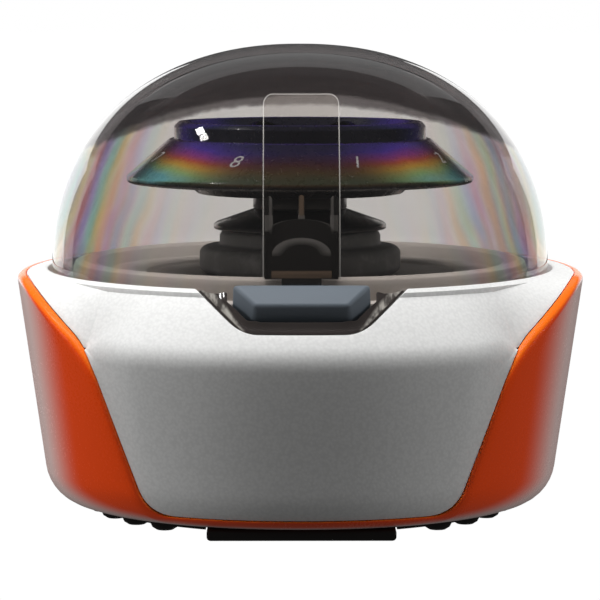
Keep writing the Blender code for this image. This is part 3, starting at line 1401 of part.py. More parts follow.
def make_hinge_pin(paint, parent):
    half = HINGE_EAR_INNER + HINGE_EAR_WIDTH * 2 / 3 - GAP
    start = (-half, HINGE_BACK, HINGE_Z)
    pin = cylinder("hinge_pin", HINGE_PIN_RADIUS, start, (half, HINGE_BACK, HINGE_Z), SCREW_STEPS)
    return finish(pin, paint, parent, smooth=True)


# Button and latch


def make_button_bezel(paint, parent):
    bezel = body_solid("bezel_outer", BEZEL_SINK, SHELL_FLOOR)
    bezel.name = "button_bezel"
    cut(bezel, body_solid("bezel_inner", BEZEL_SINK + BEZEL_WALL, SHELL_FLOOR * 2))
    keep_inside(bezel, bezel_prism("bezel_shape", 0))
    start = (0, 0, BREAK_Z)
    end = (0, 0, DECK_Z + OVERRUN)
    cut(bezel, cylinder("recess", RECESS_RADIUS, start, end, CHAMBER_STEPS, helper=True))
    grow = BUTTON_SKIRT_FLARE + BUTTON_CLEARANCE
    rear = BUTTON_REAR_HALF_WIDTH + grow
    front = BUTTON_FRONT_HALF_WIDTH + grow
    outline = [
        (rear, -RIM_OUTER_RADIUS),
        (rear, -BUTTON_REAR),
        (front, -BUTTON_FRONT - BUTTON_CLEARANCE),
        (-front, -BUTTON_FRONT - BUTTON_CLEARANCE),
        (-rear, -BUTTON_REAR),
        (-rear, -RIM_OUTER_RADIUS),
    ]
    cut(bezel, prism("button_hole", outline, BREAK_Z - OVERRUN, DECK_Z + OVERRUN, "Z", helper=True))
    show(bezel)
    return finish(bezel, paint, parent)


def make_release_button(paint, parent):
    """The cap that shows in the bezel, with the wedge below it that drives the slider."""
    top_rear = DECK_Z + BUTTON_REAR_RISE
    top_front = DECK_Z - BUTTON_FRONT_DROP
    bottom = DECK_Z - BUTTON_SKIRT_DROP
    flare = BUTTON_SKIRT_FLARE
    corners = []
    for side in (-1, 1):
        corners.append((side * BUTTON_REAR_HALF_WIDTH, -BUTTON_REAR, top_rear))
        corners.append((side * (BUTTON_REAR_HALF_WIDTH + flare), -BUTTON_REAR, bottom))
        corners.append((side * BUTTON_FRONT_HALF_WIDTH, -BUTTON_FRONT, top_front))
        corners.append((side * (BUTTON_FRONT_HALF_WIDTH + flare), -BUTTON_FRONT, bottom))
    shape = bmesh.new()
    for corner in corners:
        shape.verts.new(corner)
    bmesh.ops.convex_hull(shape, input=shape.verts)
    bmesh.ops.dissolve_limit(shape, angle_limit=math.radians(1), verts=shape.verts, edges=shape.edges)
    button = bevel(from_bmesh("release_button", shape), BUTTON_ROUND, 2)
    low = SLIDER_Z + SLIDER_THICKNESS + GAP
    lead = BUTTON_TRAVEL * WEDGE_SHARE
    back = -STEM_BACK
    nose = -STEM_FRONT
    toe = nose - SLIDER_TRAVEL * WEDGE_SHARE
    outline = [
        (back, low),
        (nose, low),
        (toe, low + lead),
        (toe, bottom + STEM_TOP_SINK),
        (back, bottom + STEM_TOP_SINK),
    ]
    join(button, prism("stem", outline, -STEM_HALF_WIDTH, STEM_HALF_WIDTH, "X", helper=True))
    return finish(button, paint, parent)


def make_latch_slider(paint, parent):
    top = SLIDER_Z + SLIDER_THICKNESS
    low = (-SLIDER_HALF_WIDTH, -SLIDER_FRONT, SLIDER_Z)
    slider = box("latch_slider", low, (SLIDER_HALF_WIDTH, -SLIDER_EDGE, top))
    front = -SLIDER_FRONT + SLIDER_WEB
    low = (-SLIDER_SLOT_HALF_WIDTH, front, SLIDER_Z - GAP)
    rear = SLIDER_TRAVEL + GAP - STEM_BACK
    high = (SLIDER_SLOT_HALF_WIDTH, rear, top + GAP)
    cut(slider, box("slot", low, high, helper=True))
    return finish(slider, paint, parent)


def make_latch_bracket(paint, parent):
    low = (-BRACKET_HALF_WIDTH, -BRACKET_FRONT, BRACKET_Z)
    bracket = box("latch_bracket", low, (BRACKET_HALF_WIDTH, -BRACKET_REAR, BRACKET_TOP))
    channel = SLIDER_HALF_WIDTH + GAP
    front = -SLIDER_FRONT - SLIDER_TRAVEL - 2 * GAP
    low = (-channel, front, BRACKET_Z + BRACKET_FLOOR)
    high = (channel, -BRACKET_REAR + OVERRUN, BRACKET_TOP + OVERRUN)
    cut(bracket, box("channel", low, high, helper=True))
    return finish(bracket, paint, parent)


def make_button_spring(name, side, paint, parent):
    low = BRACKET_TOP + GAP + SPRING_WIRE
    high = DECK_Z - BUTTON_SKIRT_DROP - GAP - SPRING_WIRE
    points = []
    for i in range(SPRING_TURNS * SPRING_STEPS + 1):
        angle = 2 * math.pi * i / SPRING_STEPS
        x = side * SPRING_SIDE + SPRING_RADIUS * math.cos(angle)
        y = -SPRING_BACK + SPRING_RADIUS * math.sin(angle)
        points.append((x, y, low + (high - low) * i / (SPRING_TURNS * SPRING_STEPS)))
    return finish(wire(name, points, SPRING_WIRE, 0), paint, parent, smooth=True)


# Assembly


def build():
    clear_scene()
    paints = make_materials()
    base = add_empty("centrifuge_axis", (0, AXIS_Y, 0))
    rotor = add_empty("rotor_spin", (0, AXIS_Y, DECK_Z))
    lid = add_empty("lid_hinge", (0, AXIS_Y + HINGE_BACK, HINGE_Z))
    button = add_empty("button_press", (0, AXIS_Y - BUTTON_REAR, DECK_Z))
    slider = add_empty("latch_slide", (0, AXIS_Y - SLIDER_FRONT, SLIDER_Z))
    switch = add_empty("switch_rock", Vector((0, AXIS_Y, 0)) + rocker_pivot())
    bpy.context.view_layer.update()

    make_lower_shell(paints["orange"], base)
    make_body_cover(paints["white"], base)
    make_chamber_bowl(paints["grey"], base)
    make_foot_ring(paints["rubber"], base)
    make_front_foot_bar(paints["rubber"], base)

    make_motor_boot(paints["rubber"], base)
    make_boot_cap(paints["rubber"], base)
    make_motor_can(paints["steel"], base)
    make_motor_endcap(paints["black"], base)
    make_motor_plate(paints["steel"], base)
    for index in range(DAMPER_COUNT):
        make_motor_damper(index, paints["rubber"], base)
    make_screws(paints["steel"], base)

    make_control_board(paints["board"], base)
    make_motor_lead("motor_lead_red", 1, paints["red"], base)
    make_motor_lead("motor_lead_black", -1, paints["black"], base)
    make_dc_jack(paints["black"], base)
    make_switch_housing(paints["black"], base)
    make_power_rocker(paints["black"], switch)
    make_lid_sensor(paints["black"], base)

    make_hinge_ear("hinge_ear_left", -1, paints["white"], base)
    make_hinge_ear("hinge_ear_right", 1, paints["white"], base)
    make_hinge_pin(paints["steel"], base)
    make_button_bezel(paints["smoke"], base)
    make_latch_bracket(paints["black"], base)
    make_button_spring("button_spring_left", -1, paints["steel"], base)
    make_button_spring("button_spring_right", 1, paints["steel"], base)

    make_lid_dome(paints["clear"], lid)
    make_latch_striker(paints["clear"], lid)
    make_lid_magnet(paints["steel"], lid)
    make_lid_hinge_arm(paints["white"], lid)

    make_rotor_disc(paints["black"], rotor)
    make_rotor_hub(paints["black"], rotor)
    make_rotor_knob(paints["black"], rotor)
    make_motor_shaft(paints["steel"], rotor)

    make_release_button(paints["button"], button)
    make_latch_slider(paints["black"], slider)


build()
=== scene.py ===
"""Mini centrifuge: the visible pieces modelled over their CAD frame, their finishes, and the studio stage.

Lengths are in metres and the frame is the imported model's. The rotor's axis stands at AXIS_Y, the button
is at the front, on the -Y side, and z = 0 is the bench.
"""

import math

import bpy
from mathutils import Matrix, Vector

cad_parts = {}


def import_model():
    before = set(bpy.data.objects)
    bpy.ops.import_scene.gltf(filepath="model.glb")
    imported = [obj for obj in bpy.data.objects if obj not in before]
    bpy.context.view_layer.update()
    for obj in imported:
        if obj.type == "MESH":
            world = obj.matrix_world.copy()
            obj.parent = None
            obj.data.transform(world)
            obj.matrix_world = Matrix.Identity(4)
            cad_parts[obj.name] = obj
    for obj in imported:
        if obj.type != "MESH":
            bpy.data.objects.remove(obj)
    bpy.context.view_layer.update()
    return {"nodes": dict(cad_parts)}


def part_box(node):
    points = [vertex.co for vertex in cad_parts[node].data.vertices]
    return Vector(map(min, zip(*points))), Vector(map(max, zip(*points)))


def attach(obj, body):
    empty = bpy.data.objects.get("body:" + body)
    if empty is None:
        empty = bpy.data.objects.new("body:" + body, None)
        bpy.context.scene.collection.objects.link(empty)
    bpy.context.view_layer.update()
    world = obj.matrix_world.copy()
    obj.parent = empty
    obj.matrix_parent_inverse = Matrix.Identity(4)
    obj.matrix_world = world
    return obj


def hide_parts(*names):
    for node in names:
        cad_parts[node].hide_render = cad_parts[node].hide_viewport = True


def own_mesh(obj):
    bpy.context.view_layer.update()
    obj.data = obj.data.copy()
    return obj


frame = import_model()

bl_info = {
    "name": "Mini centrifuge",
    "version": (1, 0, 0),
    "blender": (4, 5, 0),
    "location": "3D View > Sidebar > Centrifuge",
    "description": "Models and finishes the visible pieces of a bench mini centrifuge",
    "category": "Object",
}

MM = 0.001
AXIS_Y = (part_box("lid_dome")[0][1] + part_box("lid_dome")[1][1]) / 2

# Body outline, in millimetres about the rotor's axis
DECK_Z = 64.0
HALF_WIDTH = 76.0
FRONT = 82.0
REAR = 76.0
MIDDLE_BACK = 12.0
SIDE_LEAN = math.radians(8.0)
FRONT_LEAN = math.radians(9.5)
OUTLINE_POWER = 2.1
FLOOR_Z = 3.4
CHINE_HEIGHT = 8.6
CHINE_DEPTH = 7.0
BREAK_Z = 48.0
SLOPE_BULGE = 1.3
SLOPE_SPREAD = 0.34
SHELL_WALL = 2.4
COVER_WALL = 2.2
SEAM = 0.3

# The seam between orange and white on the right, as seen from the front, in x and z. It runs level round
# the rear and the side, falls at SEAM_FALL from SEAM_START_X, rounds the corner between SEAM_BEND and
# SEAM_SIDE, and goes straight down to the front panel's lower corner. The bead beside it is BEAD wide.
SEAM_START_X = 74.2
SEAM_FALL = 0.88
SEAM_EASE = 0.8
SEAM_BEND = (60.0, 51.5)
SEAM_CORNER = (55.0, 46.7)
SEAM_SIDE = (52.3, 39.9)
PANEL_LOW = (42.0, 13.15)
PANEL_BOTTOM = 6.3
PANEL_MIDDLE_X = 32.3
PANEL_CORNER = 2.7
BEAD = 2.0
SEAM_LAP = 1.2
LAP_Z = 42.0
CORNER_X = 42.0
CORNER_RUN = 16.5
CORNER_SINK = 2.4
BREAK_SINK = 0.3

# Bezel, as seen from the front in x and z, and the opening for the button, from above in x and y. The
# opening's lip crosses the slope at LIP_HEIGHT, and its corners start LIP_CORNER from the sides.
BEZEL_LOW = (14.6, 54.0)
BEZEL_HIGH = (26.2, 64.0)
BEZEL_LEAN = (BEZEL_HIGH[0] - BEZEL_LOW[0]) / (BEZEL_HIGH[1] - BEZEL_LOW[1])
BEZEL_CORNER = 5.0
OPENING_REAR = (18.6, -68.7)
OPENING_FRONT = (13.2, -75.9)
LIP_HEIGHT = 57.2
LIP_CORNER = 1.6

# The bezel's section, as shares of the way from its outer line to its lip and heights above the slope
BEZEL_SECTION = (
    *((0.0, -2.0), (0.0, -0.55), (0.02, -0.25), (0.06, -0.12), (0.12, -0.12), (0.18, -0.3), (0.3, -0.65)),
    *((0.5, -0.85), (0.7, -0.8), (0.82, -0.55), (0.9, -0.38), (0.95, -0.38), (0.985, -0.55), (1.0, -0.9)),
    *((1.0, -2.0), (0.0, -2.0)),
)

# The button's corners: half width, y and height of the rear and front edges of its top, and its lower edges
BUTTON_REAR = (17.4, -68.7, 65.6)
BUTTON_FRONT = (11.6, -75.0, 60.9)
BUTTON_LOW = 55.8
BUTTON_LOW_FRONT = -73.0
BUTTON_FLARE = 0.4
SPRING_PLACE = (11.3, -72.4)
SPRING_LOW = 50.0
SPRING_HIGH = 55.5

# Recess, dome and the latch moulding inside the dome's front
RECESS = 68.8
SLOPE_START = RECESS + 0.5
BEZEL_START = RECESS + 0.4
LEDGE_RADIUS = 65.5
LEDGE_Z = 58.2
DOME_RADIUS = 67.6
DOME_HEIGHT = 60.5
DOME_WALL = 2.5
DOME_POWER = 2.2
DOME_SEAT = 61.0
LATCH_HALF = 9.3
LATCH_LOW = 2.4
LATCH_BAR_TOP = 23.4
WINDOW_HALF = 9.3
WINDOW_RECESS = 1.0
WINDOW_LOW = 2.2
WINDOW_HIGH = 48.0

# Rotor: eight places, the first this many degrees right of the front
PLACES = 8
FIRST_PLACE = 20.3

SMOOTH_ANGLE = 35.0

# Every finish by its plain name, mixed by the first operator
FINISHES = {}


# Working as by hand: selection, edit mode, modifiers


def clear_selection():
    if bpy.context.object and bpy.context.object.mode != "OBJECT":
        bpy.ops.object.mode_set(mode="OBJECT")
    bpy.ops.object.select_all(action="DESELECT")


def pick(*pieces):
    """Only these pieces are selected, and the first is the active one."""
    clear_selection()
    for piece in pieces:
        piece.select_set(True)
    bpy.context.view_layer.objects.active = pieces[0]


def name_piece(name):
    piece = bpy.context.object
    piece.name = name
    piece.data.name = name
    return piece


def world(point):
    """A point in millimetres about the rotor's axis, as the frame's metres."""
    x, y, z = point
    return Vector((x * MM, y * MM + AXIS_Y, z * MM))


def place_here():
    bpy.ops.object.transform_apply(location=True, rotation=True, scale=True)


def edit_all(piece, *steps):
    """Runs mesh operators on the whole piece, each given as its name and its settings."""
    pick(piece)
    bpy.ops.object.mode_set(mode="EDIT")
    bpy.ops.mesh.select_all(action="SELECT")
    for name, settings in steps:
        getattr(bpy.ops.mesh, name)(**settings)
    bpy.ops.object.mode_set(mode="OBJECT")
    return piece


def weld(piece, reach=0.01):
    """Merges what lies together and turns every face outwards."""
    merge = ("remove_doubles", {"threshold": reach * MM})
    return edit_all(piece, merge, ("normals_make_consistent", {"inside": False}))


def fill_ends(piece):
    return edit_all(piece, ("fill_holes", {"sides": 0}))


def modify(piece, kind, **settings):
    """Adds one modifier with its settings and applies it."""
    pick(piece)
    modifier = piece.modifiers.new(kind.lower(), kind)
    for key, value in settings.items():
        setattr(modifier, key, value)
    bpy.ops.object.modifier_apply(modifier=modifier.name)
    return piece


def combine(piece, other, operation):
    modify(piece, "BOOLEAN", operation=operation, object=other, solver="MANIFOLD")
    bpy.data.objects.remove(other)
    return piece


def cut(piece, cutter):
    return combine(piece, cutter, "DIFFERENCE")


def unite(piece, other):
    return combine(piece, other, "UNION")


def round_edges(piece, width, segments, angle):
    """Rounds every edge that is sharper than the angle."""
    limit = {"limit_method": "ANGLE", "angle_limit": math.radians(angle)}
    return modify(piece, "BEVEL", width=width * MM, segments=segments, **limit)


def smooth(piece, angle=SMOOTH_ANGLE):
    pick(piece)
    bpy.ops.object.shade_smooth_by_angle(angle=math.radians(angle))
    return piece


def draw_chain(points):
    """Leaves edit mode on, with a closed chain of edges through the points, drawn from one vertex."""
    clear_selection()
    bpy.ops.mesh.primitive_plane_add(size=MM, location=world(points[0]))
    place_here()
    bpy.ops.object.mode_set(mode="EDIT")
    bpy.ops.mesh.select_all(action="SELECT")
    bpy.ops.mesh.merge(type="CENTER")
    for before, after in zip(points, [*points[1:], points[0]]):
        step = world(after) - world(before)
        bpy.ops.mesh.extrude_vertices_move(TRANSFORM_OT_translate={"value": step})
    bpy.ops.mesh.select_all(action="SELECT")
    bpy.ops.mesh.remove_doubles(threshold=0.001 * MM)
    bpy.ops.mesh.select_all(action="SELECT")


def turn_piece(name, section, steps, *rounding):
    """A piece turned about the rotor's axis from a closed section of (radius, z), and rounded if asked."""
    draw_chain([(radius, 0, z) for radius, z in section])
    bpy.ops.mesh.spin(steps=steps, angle=2 * math.pi, center=(0, AXIS_Y, 0), axis=(0, 0, 1))
    bpy.ops.object.mode_set(mode="OBJECT")
    piece = weld(name_piece(name), 0.005)
    return round_edges(piece, *rounding) if rounding else piece


def block(name, outline, along):
    """A closed outline of points filled and pulled out along a vector."""
    draw_chain(outline)
    bpy.ops.mesh.edge_face_add()
    step = Vector(along) * MM
    bpy.ops.mesh.extrude_region_move(TRANSFORM_OT_translate={"value": step})
    bpy.ops.object.mode_set(mode="OBJECT")
    return weld(name_piece(name), 0.001)


def bar(name, low, high):
    """A straight-sided bar between two corners."""
    clear_selection()
    middle = [(a + b) / 2 for a, b in zip(low, high)]
    bpy.ops.mesh.primitive_cube_add(size=MM, location=world(middle))
    bpy.context.object.scale = [b - a for a, b in zip(low, high)]
    place_here()
    return name_piece(name)


def rod(name, radius, start, end, sides):
    """A round bar between two points."""
    clear_selection()
    start, end = world(start), world(end)
    along = end - start
    turn = along.to_track_quat("Z", "Y").to_euler()
    size = {"vertices": sides, "radius": radius * MM, "depth": along.length}
    bpy.ops.mesh.primitive_cylinder_add(location=(start + end) / 2, rotation=turn, **size)
    place_here()
    return name_piece(name)


def loft(name, columns, around):
    """A sheet through columns of points. The operators have no loft between free sections like these."""
    count = len(columns[0])
    points = [world(point) for column in columns for point in column]
    faces = []
    for i in range(len(columns) if around else len(columns) - 1):
        j = (i + 1) % len(columns)
        for k in range(count - 1):
            faces.append((i * count + k, j * count + k, j * count + k + 1, i * count + k + 1))
    mesh = bpy.data.meshes.new(name)
    mesh.from_pydata(points, [], faces)
    piece = bpy.data.objects.new(name, mesh)
    bpy.context.scene.collection.objects.link(piece)
    return piece


def join(name, *pieces):
    pick(*pieces)
    bpy.ops.object.join()
    return name_piece(name)


def face_up(piece):
    """Turns a sheet over if most of it faces down."""
    if sum(face.normal.z * face.area for face in piece.data.polygons) < 0:
        edit_all(piece, ("flip_normals", {}))
    return piece


def hand_over(piece, finish, body, slot, *nodes):
    """Gives a finished piece its finish and its body, and hides the nodes it stands for. The slot is not
    used.
    """
    piece.data.materials.clear()
    piece.data.materials.append(FINISHES[finish])
    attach(piece, body)
    if nodes:
        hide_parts(*nodes)
    return piece


# The body's outline


def lean_in(z, lean):
    """How far a wall has come in at height z, with the rounded lower edge."""
    inward = (DECK_Z - z) * math.tan(lean)
    above_floor = z - FLOOR_Z
    if above_floor < CHINE_HEIGHT:
        share = min(1, 1 - above_floor / CHINE_HEIGHT)
        inward += CHINE_DEPTH * (1 - math.sqrt(max(0, 1 - share**2)))
    return inward


def outline_point(angle, z, inset=0.0):
    """A point of the outline at height z. Angle 0 is +X and turns towards the rear."""
    half = HALF_WIDTH - lean_in(z, SIDE_LEAN) - inset
    reach = REAR + MIDDLE_BACK - lean_in(z, SIDE_LEAN)
    if math.sin(angle) < 0:
        reach = FRONT - MIDDLE_BACK + (DECK_Z - BREAK_Z) * math.tan(FRONT_LEAN) - lean_in(z, FRONT_LEAN)
    power = 2 / OUTLINE_POWER
    x = math.copysign(abs(math.cos(angle)) ** power, math.cos(angle))
    y = math.copysign(abs(math.sin(angle)) ** power, math.sin(angle))
    return Vector((x * half, y * (reach - inset) - MIDDLE_BACK, z))


def front_angle(x, z, inset=0.0):
    """The angle at which the front half of the outline passes x at height z."""
    half = HALF_WIDTH - lean_in(z, SIDE_LEAN) - inset
    return -math.acos(min(1, abs(x) / half) ** (OUTLINE_POWER / 2))


def rim_at(angle):
    """Height of the seam at an angle of the front half, before its corner."""
    z = DECK_Z
    for _ in range(12):
        fall = (SEAM_START_X - outline_point(angle, z).x) * SEAM_FALL
        z = DECK_Z - (fall + math.hypot(fall, SEAM_EASE)) / 2
    return z


def curve_through(start, bend, end, share):
    """A point of the smooth curve from start to end that leaves and arrives towards bend."""
    start, bend, end = Vector(start), Vector(bend), Vector(end)
    return start * (1 - share) ** 2 + bend * 2 * share * (1 - share) + end * share**2


def panel_seam(grow):
    """The seam from its corner down to the middle of the panel's bottom, as (x, z)."""
    bend = (SEAM_CORNER[0] + grow, SEAM_CORNER[1])
    side = (SEAM_SIDE[0] + grow, SEAM_SIDE[1])
    low = (PANEL_LOW[0] + grow, PANEL_LOW[1])
    bottom = PANEL_BOTTOM - grow
    path = [curve_through(SEAM_BEND, bend, side, i / 16) for i in range(16)]
    path += [Vector(side).lerp(Vector(low), i / 20) for i in range(20)]
    turn = (PANEL_LOW[0] - PANEL_CORNER + grow, bottom)
    path += [curve_through(low, turn, (PANEL_MIDDLE_X, bottom), i / 14) for i in range(14)]
    path += [Vector((PANEL_MIDDLE_X * (1 - i / 18), bottom)) for i in range(19)]
    return path


def seam_depth(z):
    """How far the seam lies inside the outline: the wall's thickness at the top, less beside the panel."""
    return SEAM_LAP + (SHELL_WALL - SEAM_LAP) * eased((z - LAP_Z) / (SEAM_BEND[1] - LAP_Z))


def seam_columns(grow):
    """The seam on the right, rear to front: its angle and z, and those where the bead beside it ends."""
    columns = []
    for i in range(50):
        angle = math.pi / 2 * (1 - i / 50)
        columns.append((angle, DECK_Z, angle, DECK_Z - BEAD))
    last = -0.3
    while outline_point(last, rim_at(last)).x > SEAM_BEND[0]:
        last -= 0.0005
    for i in range(30):
        angle = last * i / 30
        z = rim_at(angle)
        x = outline_point(angle, z).x
        share = min(1, max(0, (SEAM_START_X - x) / (SEAM_START_X - SEAM_BEND[0])))
        share *= share
        low = z - BEAD + 0.5 * share
        aside = front_angle(x + 1.3 * share, low) if share > 0.05 else angle
        columns.append((angle, z, aside, low))
    path = panel_seam(grow)
    for i, point in enumerate(path):
        before = path[max(0, i - 1)]
        after = path[min(len(path) - 1, i + 1)]
        along = (after - before).normalized()
        aside = point + Vector((-along.y, along.x)) * BEAD
        if i == len(path) - 1:
            aside.x = 0.0
        beside = front_angle(max(0, aside.x), aside.y)
        columns.append((front_angle(point.x, point.y), point.y, beside, aside.y))
    return columns


def slope_height(edge, point):
    """Height of the front slope above a point, on the line from the recess to where the slope ends."""
    reach = math.hypot(edge.x, edge.y)
    run = reach - RECESS
    share = (reach - math.hypot(point.x, point.y)) / run
    bulge = SLOPE_BULGE * math.sin(math.atan2(DECK_Z - edge.z, run)) * 4 * share * (1 - share)
    return edge.z + (DECK_Z - edge.z) * share + bulge


def eased(share):
    """A share from 0 to 1, level at both ends, and held beyond them."""
    share = min(1, max(0, share))
    return share * share * (3 - 2 * share)


def break_sink(angle):
    """How far the break lies inside the outline: a little more towards the seam's corner."""
    return BREAK_SINK + CORNER_SINK * eased((abs(outline_point(angle, BREAK_Z).x) - CORNER_X) / CORNER_RUN)


def break_point(angle):
    """Where the slope turns down into the front."""
    return outline_point(angle, BREAK_Z, break_sink(angle))


def slope_at(x, y):
    """Height of the slope near the middle of the front."""
    low, high = -math.pi / 2, -0.9
    for _ in range(24):
        angle = (low + high) / 2
        edge = break_point(angle)
        if edge.x * -y > abs(x) * -edge.y:
            high = angle
        else:
            low = angle
    return slope_height(edge, Vector((x, y, 0)))


def mirrored(columns):
    """A right half of columns, from the rear to the front, and its mirror image back to the rear."""
    left = [[(-x, y, z) for x, y, z in column] for column in reversed(columns)]
    return columns + left


# Finishes


class Amount:
    """A number that changes over a surface, so that shader maths is written as plain arithmetic."""

    def __init__(self, tree, socket):
        self.tree = tree
        self.socket = socket

    def math(self, operation, *values):
        node = self.tree.nodes.new("ShaderNodeMath")
        node.operation = operation
        for place, value in zip(node.inputs, values):
            feed(self.tree, place, value)
        return Amount(self.tree, node.outputs[0])

    def __add__(self, other):
        return self.math("ADD", self, other)

    def __radd__(self, other):
        return self.math("ADD", other, self)

    def __sub__(self, other):
        return self.math("SUBTRACT", self, other)

    def __rsub__(self, other):
        return self.math("SUBTRACT", other, self)

    def __mul__(self, other):
        return self.math("MULTIPLY", self, other)

    def __rmul__(self, other):
        return self.math("MULTIPLY", other, self)

    def __truediv__(self, other):
        return self.math("DIVIDE", self, other)

    def __pow__(self, other):
        return self.math("POWER", self, other)

    def __abs__(self):
        return self.math("ABSOLUTE", self)

    def fraction(self):
        return self.math("FRACT", self)

    def at_least(self, low):
        return self.math("MAXIMUM", self, low)


def feed(tree, place, value):
    """Links or sets one socket."""
    if isinstance(value, Amount):
        tree.links.new(value.socket, place)
    else:
        place.default_value = value


class Finish:
    """A material or a world in the making: add makes every node but the maths ones."""

    def __init__(self, owner):
        self.owner = owner
        owner.use_nodes = True
        self.tree = owner.node_tree
        self.tree.nodes.clear()

    def add(self, kind, settings=None, values=None, output=0):
        node = self.tree.nodes.new("ShaderNode" + kind)
        for key, value in (settings or {}).items():
            if key == "stops":
                ramp = node.color_ramp.elements
                while len(ramp) < len(value):
                    ramp.new(0.5)
                for stop, (position, colour) in zip(ramp, value):
                    stop.position = position
                    stop.color = (*colour, 1.0)
            else:
                setattr(node, key, value)
        for key, value in (values or {}).items():
            feed(self.tree, node.inputs[key], value)
        return Amount(self.tree, node.outputs[output]) if node.outputs else None

    def place(self):
        """The object's own coordinates."""
        return self.add("TexCoord", output=3)

    def facing(self):
        """0 where the surface faces the eye, and 1 at a slant."""
        return self.add("LayerWeight", values={"Blend": 0.5}, output=1)

    def part(self, vector, axis):
        """One axis of a vector."""
        return self.add("SeparateXYZ", values={"Vector": vector}, output="XYZ".index(axis))

    def noise(self, place, scale, detail=2.0, rough=0.5):
        values = {"Vector": place, "Scale": scale, "Detail": detail, "Roughness": rough}
        return self.add("TexNoise", values=values)

    def cells(self, place, scale, feature="F1"):
        return self.add("TexVoronoi", {"feature": feature}, {"Vector": place, "Scale": scale})

    def step(self, value, low, high, to_low=0.0, to_high=1.0):
        """value carried smoothly from low..high to to_low..to_high, and held beyond."""
        settings = {"interpolation_type": "SMOOTHSTEP"}
        return self.add("MapRange", settings, {0: value, 1: low, 2: high, 3: to_low, 4: to_high})

    def blend(self, share, low, high):
        """A colour between two."""
        return self.add("Mix", {"data_type": "RGBA"}, {0: share, 6: low, 7: high}, output=2)

    def bump(self, height, depth, strength=1.0):
        values = {"Height": height, "Distance": depth * MM, "Strength": strength}
        return self.add("Bump", values=values)

    def clear(self, colour):
        return self.add("BsdfTransparent", values={"Color": colour})

    def over(self, share, low, high):
        """A shader between two."""
        return self.add("MixShader", values={0: share, 1: low, 2: high})

    def close(self, shader, kind="OutputMaterial"):
        self.add(kind, values={"Surface": shader})
        return self.owner

    def surface(self, colour, roughness, normal, **others):
        """Closes the material with one solid shader. Other inputs come with _ for each space."""
        values = {"Base Color": colour, "Roughness": roughness, "Normal": normal}
        values.update((key.replace("_", " "), value) for key, value in others.items())
        return self.close(self.add("BsdfPrincipled", values=values))


def new_finish(name):
    """An empty material and its place."""
    finish = Finish(bpy.data.materials.new(name))
    return finish, finish.place()


def shade(colour, factor):
    return (*(channel * factor for channel in colour[:3]), 1.0)


def moulded(name, colour, roughness, grain, depth, mottle=0.05, coat=0.0, pale=0.0):
    """Moulded plastic: a spark-eroded grain, faint clouds of tone, and slightly uneven gloss.

    With pale, painted top light makes it more yellow on faces turned up, and a painted reflection of the
    white surroundings makes it paler towards its outer edges.
    """
    finish, place = new_finish(name)
    clouds = finish.noise(place, 35.0, 3.0)
    pores = finish.noise(place, grain, 3.0, 0.6)
    colour = finish.blend(clouds, shade(colour, 1 - mottle), shade(colour, 1 + mottle))
    if pale:
        # Painted top light: faces turned up are lighter and more yellow; painted reflection: slanted outer
        # edges go pale
        facing = finish.facing()
        painted_top_light = finish.step(finish.part(finish.add("NewGeometry", output=1), "Z"), 0.1, 0.55)
        colour = finish.blend(painted_top_light, colour, (1.0, 0.17, 0.008, 1.0))
        painted_edge_reflection = finish.step(facing, 0.5, 0.84) * (1 - painted_top_light) * pale
        colour = finish.blend(painted_edge_reflection, colour, (1.0, 0.88, 0.84, 1.0))
    uneven = roughness - 0.04 + 0.08 * (pores * 0.5 + clouds * 0.5)
    others = {"Coat_Weight": coat, "Coat_Roughness": 0.12} if coat else {}
    return finish.surface(colour, uneven, finish.bump(pores, depth), **others)


def leather_grain(name, colour, roughness, grain, depth):
    """Plastic with a leather-like grain of small raised cells, paler on their tops."""
    finish, place = new_finish(name)
    ripple = finish.noise(place, grain * 0.6, 2.0)
    cells = finish.cells(place, grain, "SMOOTH_F1")
    height = (1 - cells) * 0.7 + ripple * 0.3
    clouds = finish.noise(place, 28.0, 3.0)
    tops = finish.step(height, 0.35, 0.75)
    base = finish.blend(tops, shade(colour, 0.93), shade(colour, 1.02))
    base = finish.blend(clouds * 0.12, base, shade(colour, 0.9))
    return finish.surface(base, roughness + 0.1 * (1 - tops), finish.bump(height, depth))


def rubber(name, colour):
    """Dull rubber with fine pores and a little dust."""
    finish, place = new_finish(name)
    dust = finish.noise(place, 160.0, 4.0, 0.7)
    pores = finish.noise(place, 2200.0, 2.0)
    base = finish.blend(finish.step(dust, 0.45, 0.75), colour, shade(colour, 1.7))
    return finish.surface(base, 0.5 + 0.25 * dust, finish.bump(pores, 0.02))


def metal(name, colour, roughness, brush=(1.0, 1.0, 1.0)):
    """Metal with fine marks, drawn out along the axes with a small number in brush."""
    finish, place = new_finish(name)
    drawn = finish.add("Mapping", values={"Vector": place, "Scale": brush})
    marks = finish.noise(drawn, 900.0, 3.0, 0.6)
    tarnish = finish.noise(place, 120.0, 3.0)
    base = finish.blend(tarnish, shade(colour, 0.85), shade(colour, 1.05))
    return finish.surface(base, roughness + 0.15 * marks, finish.bump(marks, 0.01, 0.6), Metallic=1.0)


def circuit_board(name, colour):
    """Green mask with paler copper runs and small solder dots."""
    finish, place = new_finish(name)
    runs = finish.cells(place, 330.0, "DISTANCE_TO_EDGE")
    dots = finish.cells(place, 420.0)
    copper = 1 - finish.step(runs, 0.02, 0.06)
    solder = 1 - finish.step(dots, 0.12, 0.18)
    base = finish.blend(copper, colour, shade(colour, 2.2))
    base = finish.blend(solder, base, (0.6, 0.6, 0.58, 1.0))
    raised = finish.bump(copper + solder, 0.03)
    return finish.surface(base, 0.42 - 0.15 * solder, raised, Metallic=solder * 0.8)


